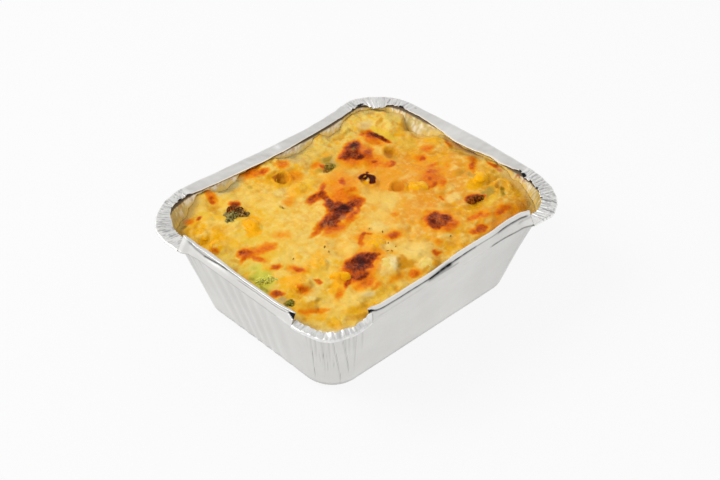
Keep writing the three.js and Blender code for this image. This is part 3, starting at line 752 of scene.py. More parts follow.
        # The shine is painted highlight: along the ledge's fold, on the near right flap's hem and top, over
        # the front corner's facet edges and the pleats, and as one glint on the far left band.
        shine = 0.5 * ridge(travelled - 0.75, 0.3) * (1 - 0.85 * raised) * lerp(1.0, 0.9 * broken, front)
        shine = shine + on_near_right * (0.16 * hem + raised * 0.12 * smooth((travelled - fold - 0.1) / 0.3))
        shine = shine + 0.75 * ridge_light * broken * smooth(travelled - 0.5)
        shine = shine + 0.3 * (weight > 0) * (1 - raised)
        shine = shine + 0.8 * ridge(signed_gap(s, FAR_LEFT - 3.5), 1.1) * ridge(share - 0.4, 0.25)
        push = out * (1 - 0.5 * share) - inset - in_pinch + 0.2 * puffed + bead - 0.3 * lines - 0.4 * gape
        dark = np.maximum.reduce([painted_shade * 0.62 * broken, lines, 1.05 * gape, gap_shadows, crumple_shade, bold])
        add(RIM_LEVEL, LEDGE_HEIGHT + height + top_lift - dip, push, dark, under, shine, share)
    return rows


def build_tray():
    s = tray_columns()
    count = len(s)
    place = outline_place(s)
    rows = foil_profile(s)

    def each(part):
        return np.stack([row[part] for row in rows])

    ledge_row = len(rows) - RIM_ROWS - 1
    middle = np.stack([outline_points(place, *row["level"]) for row in rows])
    middle = middle + place[3] * each("push")[..., None]
    heights = each("height")
    reach = np.stack([row["level"][0] + row["push"] for row in rows])
    run_out, run_up = np.gradient(reach, axis=0), np.gradient(heights, axis=0)
    size = np.hypot(run_out, run_up) + 1e-9
    side_out, side_up = run_up / size, -run_out / size
    thickness = FOIL * (1 + 0.6 * smooth((np.arange(len(rows)) - len(rows) + 3) / 2.0))[:, None]

    def skin(sign):
        flat = middle + place[3][None] * (sign * side_out * thickness / 2)[..., None]
        return np.concatenate([flat, (heights + sign * side_up * thickness / 2)[..., None]], -1)

    outer, inner = skin(1), skin(-1)
    rings = np.concatenate([outer, inner[::-1]])
    row_count = len(rings)
    ids = np.arange(row_count * count).reshape(row_count, count)
    cut = np.zeros(count, bool)
    shared = np.concatenate([np.arange(ledge_row + 1), row_count - 1 - np.arange(ledge_row + 1)])
    for slit in SLITS:
        left = int(np.argmin(np.abs(signed_gap(s, slit - LIP_GAP))))
        cut[left] = True
        ids[shared, (left + 1) % count] = ids[shared, left]
    faces = []
    for i in range(row_count - 1):
        for j in np.flatnonzero(~cut):
            k = (j + 1) % count
            faces.append((ids[i, j], ids[i, k], ids[i + 1, k], ids[i + 1, j]))
    for i in range(ledge_row, len(rows) - 1):
        back = row_count - 1 - i
        for j in np.flatnonzero(cut):
            for column, flip in ((j, False), ((j + 1) % count, True)):
                cap = [ids[i, column], ids[i + 1, column], ids[back - 1, column], ids[back, column]]
                cap = list(dict.fromkeys(cap))
                faces.append(tuple(reversed(cap)) if flip else tuple(cap))
    vertices = rings.reshape(-1, 3)
    base_centre, floor_centre = len(vertices), len(vertices) + 1
    vertices = np.vstack([vertices, [[0, 0, PANEL_RISE], [0, 0, PANEL_RISE + FOIL]]])
    for j in np.flatnonzero(~cut):
        k = (j + 1) % count
        faces.append((base_centre, ids[0, k], ids[0, j]))
        faces.append((floor_centre, ids[-1, j], ids[-1, k]))

    def both_skins(name, outside, inside_share):
        """The skins' values, weaker on the inner one, and none on the two middle vertices of the base."""
        values = np.concatenate([outside, (outside * inside_share)[::-1]])
        add_values(tray, name, np.append(values.ravel(), [0, 0]))

    tray = new_mesh("pressed_foil_tray", vertices, [tuple(int(v) for v in face) for face in faces])
    bends = rim_bends(s)
    handled = np.clip((bends["weight"] > 0) + bends["raised"], 0, 1)
    both_skins("matt", handled * smooth((heights - LEDGE_HEIGHT + 2) / 2), 1)
    both_skins("painted_shade", each("painted_shade"), 0.6)
    both_skins("shine", each("shine"), 0)
    # The film colours carry painted glints, and painted shade on the band's underside and under the band.
    film = np.concatenate([each("stain"), each("film")[::-1]]).reshape(-1, 4)
    add_colours(tray, "film", np.vstack([film, [[0, 0, 0, 0]] * 2]))
    # The tone is painted shade and light by how the wall turns round its flutes and dents.
    slope = np.gradient(each("push"), axis=1) / np.maximum(np.gradient(s), 0.05)[None]
    both_skins("tone", np.clip(slope * 1.6, -1, 1), 0.3)
    clean_mesh(tray)
    return tray


# ---------------------------------------------------------------- crust surface, as the solids have it

# The crust's depth under the ledge in its middle, the width of the band that runs to its edge, and the
# height over the ledge that its crests reach. Next to the wall they stay lower: by how much, and from and to
# how far in.
CENTRE_DEPTH = 2.4
EDGE_BAND = 15.0
CREST_LIMIT = 0.3
EDGE_CREST = {"drop": 0.9, "from": 2, "to": 8}
# How far under the ledge the crust's edge lies, at bearings in degrees from the middle.
EDGE_DEPTHS = [
    (-45, 8.4), (-40, 7.2), (-36, 5.4), (-32, 4.2), (-27, 4), (-24, 2.2), (-18, 1.6), (-10, 2.6), (-2, 3.2),
    (4, 3.2), (11, 2.4), (16, 2.6), (20, 4.7), (24, 6.8), (29, 8.6), (33, 8.6), (36, 3), (42, 3.2),
    (48, 2.5), (55, 1.9), (57.5, 2.2), (60, 5.2), (64, 4.8), (66.5, 3), (68.5, 0.9), (70.5, 1), (73, 3.3),
    (78, 4.7), (83, 4.3), (89, 2.8), (93, 1), (107, 1), (109.5, 3.6), (114, 5), (117, 4.4), (119.5, 2),
    (122.5, 1.8), (126, 5), (130, 8), (140, 8.6), (150, 7.2), (165, 4.6), (210, 3.2), (235, 2.6),
    (285, 3.5), (300, 5),
]
# Lumps and hollows: x, y, half length, half width, turn in degrees and height.
LUMPS = [
    (7, 16, 12, 9, 20, 1.7), (-9, 11, 6, 4, 70, 0.8), (28, 31, 9, 8, 40, 1.9), (3, 42, 13, 6, -12, 2.4),
    (34, -3, 13, 9, -15, 1.4), (-26, -31, 8, 6, 30, 1.3), (19, -30, 9, 7, 20, 1.2), (57, -5, 7, 9, 0, 1.6),
    (-47, -43, 13, 8, -35, 1.5), (-5, -38, 7, 6, 0, 1.6), (-16, -36, 7, 6, 15, 1.1),
    (40, -40, 14, 5, 8, 1.2), (-47, 27, 9, 8, 0, 1.3), (-33, 6, 12, 10, 30, 0.9), (-50, -20, 7, 7, 0, 1.1),
    (-22, 25, 11, 7, 50, 0.9), (52, 36, 9, 5, 60, 2), (58, 44, 6, 5, 0, 1.4), (50, -18, 7, 5, 10, 1.4),
    (3, -15, 13, 8, 10, 0.9), (20, 22, 5, 5, 0, -1.3), (-12, 31, 9, 4, 30, -1.2), (42, 12, 9, 5, -60, -1.5),
    (-40, -9, 7, 4, 40, -1), (8, -43, 10, 4, 0, -1.4), (-36, -46, 6, 4, 30, -1), (30, -17, 8, 4, -20, -1.1),
    (-24, -14, 8, 4, 60, -0.9),
]
# The least and greatest value of the same six numbers for the small lumps, and how many there are.
SMALL_LUMP_SPANS = [(-64, 64), (-51, 51), (3, 6.5), (2.5, 4.5), (0, 180), (-1, 1.1)]
SMALL_LUMP_COUNT = 130
# Where the crust has broken: `floor` and `ramp` say how far past the break its floor ends, and how softly.
CRUST_BREAK = {
    "x": 44, "y": 29, "turn": -78, "half_length": 17, "drop": 3, "width": 2.2, "floor": 16, "ramp": 10,
}

lump_draws = seeded_draws(41)
LUMPS += [[lerp(*span, next(lump_draws)) for span in SMALL_LUMP_SPANS] for _ in range(SMALL_LUMP_COUNT)]


def distance_inside(level, x, y):
    """How far a place lies inside an outline of the given half sizes and corner radius."""
    beyond_x = np.abs(x) - (level[0] - level[2])
    beyond_y = np.abs(y) - (level[1] - level[2])
    outside = np.hypot(np.maximum(beyond_x, 0), np.maximum(beyond_y, 0))
    return level[2] - outside - np.minimum(np.maximum(beyond_x, beyond_y), 0)


def edge_depth(x, y):
    bearing = np.degrees(np.arctan2(y / (2 * RIM_LEVEL[1]), x / (2 * RIM_LEVEL[0])))
    first_bearing, first_depth = EDGE_DEPTHS[0]
    around = np.where(bearing < first_bearing, bearing + 360, bearing)
    return at_stations([*EDGE_DEPTHS, (first_bearing + 360, first_depth)], around)


def swelling(lump, x, y):
    centre_x, centre_y, half_length, half_width, turn, height = lump
    along, across = turned_place(x, y, centre_x, centre_y, turn)
    return height * np.exp(-1.6 * ((along / half_length) ** 2 + (across / half_width) ** 2))


def break_drop(x, y, width):
    along, past = turned_place(x, y, CRUST_BREAK["x"], CRUST_BREAK["y"], CRUST_BREAK["turn"])
    half = CRUST_BREAK["half_length"]
    ends = smooth((half - np.abs(along)) / (half * 0.4))
    floor_end = smooth((CRUST_BREAK["floor"] - past) / CRUST_BREAK["ramp"])
    return CRUST_BREAK["drop"] * ends * smooth(past / width) * floor_end


def crust_height(x, y, break_width=None):
    x, y = np.asarray(x, float), np.asarray(y, float)
    inside = distance_inside(WALL_TOP, x, y)
    rise = -lerp(edge_depth(x, y), CENTRE_DEPTH, smooth(inside / EDGE_BAND))
    for lump in LUMPS:
        rise = rise + swelling(lump, x, y)
    rise = rise - break_drop(x, y, break_width or CRUST_BREAK["width"])
    near, far = EDGE_CREST["from"], EDGE_CREST["to"]
    limit = CREST_LIMIT - EDGE_CREST["drop"] * (1 - smooth((inside - near) / (far - near)))
    over = np.maximum(0, rise - limit + 1)
    return LEDGE_HEIGHT + rise - over + over / (1 + over)


# ---------------------------------------------------------------- pieces set into the crust

# Each piece: x, y and how far its middle is sunk; but for florets, its turns about Z and Y in degrees; for
# corn also its turn about X and how much it shows, and for potato its size.
PIECES = {
    "corn": [
        (54, -20.2, -0.6, 35, 10, 0, 0.9), (-39.7, 21.9, 0.2, 80, -8, 0, 0.5),
        (29.8, -6.2, 0.6, -30, 5, 0, 0.5), (-10.7, -22, 0.5, 10, 0, 0, 0.4),
        (-36, -27.4, 0.6, -50, 4, 65, 0.9), (-36.3, -15.8, 0.8, 60, 0, 0, 0.0),
        (-50.5, -20.7, 0.4, 20, 12, 0, 0.2), (-57.5, 33, 0.2, 70, 12, 0, 0.4),
        (-57.5, 22, 0.4, 110, -10, 0, 0.3), (-8, 29, 0.7, 15, 0, 0, 0.2),
    ],
    "broccoli": [
        (-40.2, 33.6, 1.6), (41.4, -29.2, 1.5), (-57.5, -8.6, 2.5), (-61, -25.5, 1.4), (12, 31.5, 2),
    ],
    "potato": [
        (-17.5, -35.5, 2, 38, 6, (10, 8, 7)), (-5.5, -46.5, 1.4, 10, -8, (8, 6.5, 7)),
        (-55, -30.5, 1.8, 25, 15, (7, 6, 6)),
    ],
    "macaroni": [
        (-9, 38, -0.7, 225, 35), (16, 11.3, -0.8, 225, 20), (22.8, -0.5, -0.6, 215, 32),
        (57, -30, -0.3, 200, 28), (37.5, -16, 0.4, 240, 22), (40.5, 22, 0.2, 230, 20),
    ],
}
KERNEL = {"length": 9, "width": 7.6, "thickness": 5}
MACARONI = {"outer": 3.8, "inner": 2.5, "length": 10}
# How deep each tube's mouth is open in the crust; the fifth is under the cheese.
MOUTH_DEPTHS = [2.2, 1.4, 0.9, 1.8, -0.3, 0.9]


def placement(x, y, sunk, turn=0.0, tilt=0.0, roll=0.0):
    height = float(crust_height(x, y)) - sunk
    turned = (Matrix.Rotation(math.radians(turn), 4, "Z") @ Matrix.Rotation(math.radians(tilt), 4, "Y")
              @ Matrix.Rotation(math.radians(roll), 4, "X"))
    return Matrix.Translation((x, y, height)) @ turned


def dome(x, y, matrix, half_sizes):
    """Top surface of an ellipsoid seen from above, and whether each place lies over it."""
    rotation = np.array(matrix.to_3x3())
    centre = np.array(matrix.translation)
    shape = rotation @ np.diag(1 / np.array(half_sizes) ** 2) @ rotation.T
    dx, dy = x - centre[0], y - centre[1]
    a = shape[2, 2]
    b = 2 * (shape[0, 2] * dx + shape[1, 2] * dy)
    c = shape[0, 0] * dx**2 + 2 * shape[0, 1] * dx * dy + shape[1, 1] * dy**2 - 1
    inside = b**2 - 4 * a * c
    return centre[2] + (-b + np.sqrt(np.maximum(inside, 0))) / (2 * a), inside > 0


def smooth_max(a, b, width):
    """The greater of two heights, with the change between them rounded over the width."""
    share = np.clip(0.5 + 0.5 * (b - a) / width, 0, 1)
    return lerp(a, b, share) + width * share * (1 - share)


# ---------------------------------------------------------------- colours of the crust

CAMERA = np.array(CAMERA_PLACE)


def seen_place(x, y, z):
    """Where the photograph's line of sight through a point meets the level at which its marks were noted."""
    share = (CAMERA[2] - SEEN_HEIGHT) / (CAMERA[2] - z)
    return CAMERA[0] + (x - CAMERA[0]) * share, CAMERA[1] + (y - CAMERA[1]) * share


# Colours as they look in the photograph's light, 0 to 255.
COLOURS = {
    "cheese": (237, 192, 86), "lemon": (236, 198, 72), "butter": (241, 205, 108), "straw": (224, 190, 92),
    "gold": (238, 176, 26), "corn": (248, 178, 12), "amber": (237, 158, 54), "coral": (228, 124, 58),
    "orange": (226, 112, 20), "olive": (158, 124, 20), "green": (112, 100, 16), "leaf": (208, 206, 84),
    "moss": (168, 148, 66), "pale": (243, 215, 130), "cream": (240, 222, 166), "shade": (208, 144, 18),
    "hole": (168, 98, 2), "cup": (206, 120, 6), "ash": (188, 166, 120), "blister_sheen": (186, 112, 72),
    "deep": (228, 138, 20), "honey": (214, 148, 8), "film": (218, 204, 150), "primrose": (238, 214, 110),
    "shadow_under_band": (96, 58, 8), "char": (66, 22, 6), "glaze": (238, 172, 56), "dark_bud": (88, 40, 12),
    "brown_bud": (168, 92, 36),
}
# What baking does to the cheese, from hardly touched to charred.
BAKED = [
    (0.0, (240, 178, 60)), (0.22, (238, 160, 42)), (0.42, (230, 124, 18)), (0.6, (206, 94, 10)),
    (0.78, (172, 76, 10)), (0.92, (138, 56, 8)), (1.1, (72, 28, 4)),
]
# What the gloss adds to every colour of the food, and how bright the scene's light makes it.
GLOSS_VEIL = 0.016
FOOD_LIGHT = 1.19


def albedo(name_or_rgb):
    """The colour a surface needs so that it looks as given under the scene's light and gloss."""
    rgb = COLOURS[name_or_rgb] if isinstance(name_or_rgb, str) else name_or_rgb
    return np.clip(srgb(*rgb) - GLOSS_VEIL, 0.001, 1) / FOOD_LIGHT


# Broad tones: x, y, half length, half width, turn in degrees, colour, strength, softness.
TONES = [
    (-42, 22, 30, 30, 0, "lemon", 0.8, 1), (-40, -18, 24, 26, 0, "lemon", 0.5, 1),
    (-18, 12, 16, 12, 10, "butter", 0.7, 1), (-26, -4, 16, 9, 10, "butter", 0.6, 1),
    (26, 6, 24, 24, -15, "amber", 0.8, 1), (26, -24, 24, 16, 8, "amber", 0.75, 1),
    (48, -2, 14, 16, 0, "amber", 0.6, 1), (-12, -16, 16, 8, -20, "amber", 0.4, 1),
    (20, 45, 26, 8, 8, "straw", 0.8, 1), (54, 40, 12, 12, 40, "primrose", 0.8, 0.9),
    (44, 6, 18, 16, -10, "deep", 0.45, 1), (40, -42, 22, 9, 8, "deep", 0.45, 1),
    (42, -2, 14, 12, 0, "deep", 0.4, 1), (-30, -3, 14, 9, 0, "butter", 0.6, 1),
    (50, -39, 8, 7, 0, "honey", 0.8, 1), (20, 49, 44, 4, -1, "primrose", 0.6, 0.9),
    (64, 22, 5, 30, 0, "straw", 0.6, 0.9), (-62, -2, 4, 14, 0, "leaf", 0.4, 0.9),
    (-58, 46, 6, 6, 0, "straw", 0.7, 0.9), (58, -40, 7, 12, 0, "olive", 0.35, 0.9),
    (56, -30, 10, 14, 0, "gold", 0.6, 0.9), (-57, 31, 7, 12, 0, "gold", 0.9, 0.7),
    (-48, -44, 16, 9, -30, "lemon", 0.6, 0.9), (20, -46, 26, 4, 4, "gold", 0.5, 0.9),
    (2, 50, 16, 4, 0, "primrose", 0.7, 0.9), (34, 46, 10, 5, 0, "primrose", 0.5, 0.9),
    (46, -34, 18, 16, 0, "honey", 0.35, 1), (50, 12, 10, 14, 0, "honey", 0.25, 1),
]
# Patches of another colour, laid in this order: as the tones.
PATCHES = [
    # left part
    (-45, 42, 1.2, 4.5, 0, "shade", 0.6, 0.9), (-47, 50, 3, 3, 0, "straw", 0.6, 0.9),
    (-51, 42, 3.4, 3, 0, "lemon", 0.6, 0.9), (-44, 36, 3, 2.4, 30, "gold", 0.4, 0.9),
    (-30, 40, 7, 5, 20, "butter", 0.6, 1), (-24, 31, 6, 4, 30, "butter", 0.6, 1),
    (-16, 32, 3, 2.2, 0, "pale", 0.7, 0.8), (-38.3, 24, 4.4, 3.6, 60, "corn", 0.95, 0.5),
    (-42, 19.2, 4.2, 3.4, 40, "corn", 0.95, 0.5), (-51, 31, 2.4, 4, 10, "shade", 0.35, 0.9),
    (-60, 9, 1.2, 2.4, 20, "shade", 0.6, 0.8), (-54, 22, 3, 5, 0, "gold", 0.5, 0.9),
    (-47, 27, 4, 2.4, 10, "pale", 0.4, 0.9), (-56, 14, 4, 2, 20, "straw", 0.6, 0.9),
    (-22, 23.5, 0.8, 2.2, 5, "olive", 0.55, 0.8), (-20.3, 24.4, 1, 3.2, 0, "pale", 0.8, 0.7),
    (-23, 43.5, 1.6, 1.2, 60, "olive", 0.45, 0.9), (-61, 41.3, 1.8, 0.9, 0, "olive", 0.8, 0.6),
    (-58, 48, 4, 3.4, 30, "ash", 0.5, 0.9), (-30.5, 50.4, 5.6, 3.2, 0, "film", 0.85, 0.7),
    (-32, 46, 4, 2.6, 20, "straw", 0.5, 0.9), (11, 2, 5, 5, 0, "butter", 0.8, 0.9),
    (-21, -17.5, 5, 4, 10, "butter", 0.8, 0.9), (1, -19, 4, 4, 0, "butter", 0.7, 0.9),
    (-29, 50, 6, 3, 0, "film", 0.7, 0.9), (42, -46, 14, 3.4, 6, "deep", 0.7, 0.9),
    (7, 50, 7, 2.6, 0, "film", 0.7, 0.8),
    # behind the middle
    (-9.5, 39.5, 6.4, 5.8, 20, "gold", 0.85, 0.5), (-10, 44, 4, 1.8, 10, "shade", 0.6, 0.8),
    (-8.8, 39.2, 4, 3.6, 20, "hole", 1, 0.3), (-10.6, 37.2, 2.2, 1.6, 30, "shade", 0.5, 0.8),
    (-8, 27.2, 6.6, 4.2, 5, "corn", 0.55, 0.8), (-2, 29, 6, 3, 20, "lemon", 0.5, 0.9),
    (7, 17.5, 9.5, 7.5, 50, "coral", 0.6, 0.7), (12, 21, 4, 4.6, 30, "coral", 0.4, 0.8),
    (13, 44, 7, 4, 10, "straw", 0.6, 0.9), (5, 47, 4, 4, 0, "ash", 0.5, 0.9),
    (23, 37.5, 6, 2, 26, "straw", 0.6, 0.9), (13, 33, 7, 4.4, 0, "moss", 0.7, 0.7),
    (11, 30, 2, 1.4, 20, "green", 0.85, 0.6), (15.4, 35.8, 2.6, 1.1, 10, "olive", 0.7, 0.7),
    (13.8, 32.2, 1.3, 2.4, 20, "green", 0.6, 0.8), (16.5, 33, 1.4, 1.8, 0, "ash", 0.6, 0.8),
    (9, 29, 1.2, 2.4, 0, "pale", 0.4, 0.8), (30, 45, 5, 1.5, 10, "shade", 0.5, 0.9),
    (36, 45.4, 3, 1.2, 30, "olive", 0.5, 0.8), (46, 44, 4, 3, 0, "cream", 0.5, 0.9),
    (53, 42, 3.6, 1.3, 25, "shade", 0.8, 0.7), (56, 31, 5, 1.5, 50, "gold", 0.6, 0.8),
    (52, 29, 4, 1.4, 40, "gold", 0.5, 0.8), (38.6, 20, 5.6, 3.6, 50, "shade", 0.7, 0.7),
    (37.8, 20, 3.2, 2.1, 48, "hole", 0.75, 0.6), (36, 25.5, 4.6, 2.2, 45, "butter", 0.6, 0.8),
    (17, 21.5, 3.6, 2.6, 30, "butter", 0.7, 0.9), (12.5, 10.5, 2.6, 3.6, 0, "butter", 0.6, 0.9),
    (49, 20, 5, 5, 0, "lemon", 0.5, 0.9), (52, 2, 4, 4, 0, "gold", 0.4, 0.9),
    (59, 14, 3, 5, 10, "gold", 0.6, 0.8),
    # right part
    (23.2, 0.6, 4.2, 3.2, 0, "cup", 0.95, 0.3), (29.6, -4.2, 4.4, 3.4, -20, "corn", 0.9, 0.5),
    (14, -5, 6, 3.6, 20, "butter", 0.8, 0.9), (2, -10, 7, 4, 0, "butter", 0.6, 0.9),
    (36, -21.5, 4.4, 2.6, 20, "pale", 0.7, 0.8), (29, -24.5, 2.2, 3, 0, "shade", 0.5, 0.9),
    (34, -16, 2.6, 1.8, 0, "shade", 0.45, 0.8), (41, -15, 3, 2, 0, "butter", 0.5, 0.9),
    (50.5, -21.5, 6.4, 3.8, 4, "gold", 0.95, 0.45), (52, -19.5, 4, 1.6, 4, "corn", 0.8, 0.6),
    (48.5, -29.3, 5, 2.4, 5, "moss", 0.75, 0.7), (53.8, -16, 2, 2.6, 30, "olive", 0.55, 0.8),
    (51, -11.5, 2.6, 1.4, 0, "olive", 0.4, 0.9), (54, -33, 3.4, 1.3, 42, "olive", 0.95, 0.5),
    (54.2, -34.6, 1.1, 0.9, 0, "pale", 0.5, 0.8), (55.6, -31.4, 1.4, 0.8, 40, "green", 0.8, 0.6),
    (58, -36, 3, 5, 10, "gold", 0.6, 0.9), (62, -25, 2.4, 4, 0, "straw", 0.5, 0.9),
    (40, -31.5, 4, 1.6, 10, "gold", 0.6, 0.9), (46, -34.5, 5, 2, 10, "lemon", 0.6, 0.9),
    (14, -38, 3, 1.2, -25, "pale", 0.7, 0.8), (24, -38.5, 4, 2, 0, "gold", 0.5, 0.9),
    (60, -47, 6, 2.4, 30, "olive", 0.45, 0.9), (20, -16, 7, 4, 10, "amber", 0.5, 1),
    # near part
    (-60, -6.6, 8.4, 3.8, 60, "leaf", 0.9, 0.7), (-58.6, -9, 5, 3.4, 60, "leaf", 0.5, 0.9),
    (-62.5, -4, 0.9, 2, 0, "green", 0.4, 0.9), (-63, -12, 0.9, 3, 0, "green", 0.5, 0.8),
    (-62.4, -25.2, 1.2, 1.8, 0, "green", 0.9, 0.6), (-62.4, -22, 1.6, 1.4, 0, "ash", 0.8, 0.7),
    (-36, -13.5, 5.4, 4, 35, "corn", 0.5, 0.8), (-51.5, -16.5, 4.6, 4.6, 20, "corn", 0.8, 0.8),
    (-55, -11, 1.6, 3, 10, "corn", 0.4, 0.9), (-9.5, -20, 5.4, 4.2, 20, "corn", 0.6, 0.7),
    (-38, -29, 6.4, 2.8, 36, "corn", 0.9, 0.55), (-43, -33, 3.8, 2.4, 30, "corn", 0.7, 0.7),
    (-48, -26, 3.6, 3, 20, "pale", 0.55, 0.8), (-56, -31.5, 3, 2, 0, "shade", 0.5, 0.8),
    (-52.5, -31.5, 1.8, 1.6, 30, "olive", 0.45, 0.8), (-53.8, -29, 2.2, 1.6, 0, "pale", 0.7, 0.8),
    (-59, -30, 2.4, 7, -15, "gold", 0.6, 0.9), (-50, -40, 12, 5, -10, "butter", 0.55, 0.9),
    (-44, -47, 6, 3, -20, "gold", 0.8, 0.8), (-47, -50.5, 5, 1.6, -25, "shade", 0.7, 0.8),
    (-40, -42, 5, 2.4, 10, "butter", 0.5, 0.9), (-35, -43, 2.6, 1.6, -30, "cream", 0.6, 0.8),
    (-30, -46.5, 6, 2, 5, "lemon", 0.5, 0.9), (-2, -36, 8, 7, 10, "butter", 0.75, 0.7),
    (-16.5, -34.5, 6.6, 3.6, 36, "pale", 0.85, 0.5), (-14, -35.5, 5, 1.2, 48, "cream", 0.7, 0.6),
    # (-1, -36) pale is painted light on a dome's top; the shade patches at (-10.4, -40.6) and (-11.2, -37.8)
    # are painted shade on its side next to the potato.
    (-21, -33.5, 2.2, 1.6, 0, "cream", 0.6, 0.7), (-1, -36, 5.5, 4.5, 10, "pale", 0.45, 0.9),
    (-10.4, -40.6, 3.6, 2.6, -44, "shade", 0.85, 0.8), (-11.2, -37.8, 1.8, 5, -38, "shade", 0.95, 0.8),
    (-13.6, -38.6, 1.6, 0.8, 20, "olive", 0.6, 0.7), (-4.6, -44.6, 4.8, 2.4, 8, "pale", 0.8, 0.6),
    (-7, -47.4, 5, 0.9, 5, "shade", 0.7, 0.8), (1, -45.5, 2, 3, -30, "shade", 0.7, 0.8),
    (-8.5, -26.5, 4, 2.6, 0, "pale", 0.6, 0.9), (-3, -13.5, 4, 2.6, 0, "pale", 0.6, 0.9),
    (-5.7, -12.8, 1.2, 0.8, 0, "olive", 0.5, 0.8), (1.6, -30.5, 1.3, 0.9, -50, "shade", 0.6, 0.8),
    (-58, -40, 3, 2, -20, "gold", 0.8, 0.8),
]
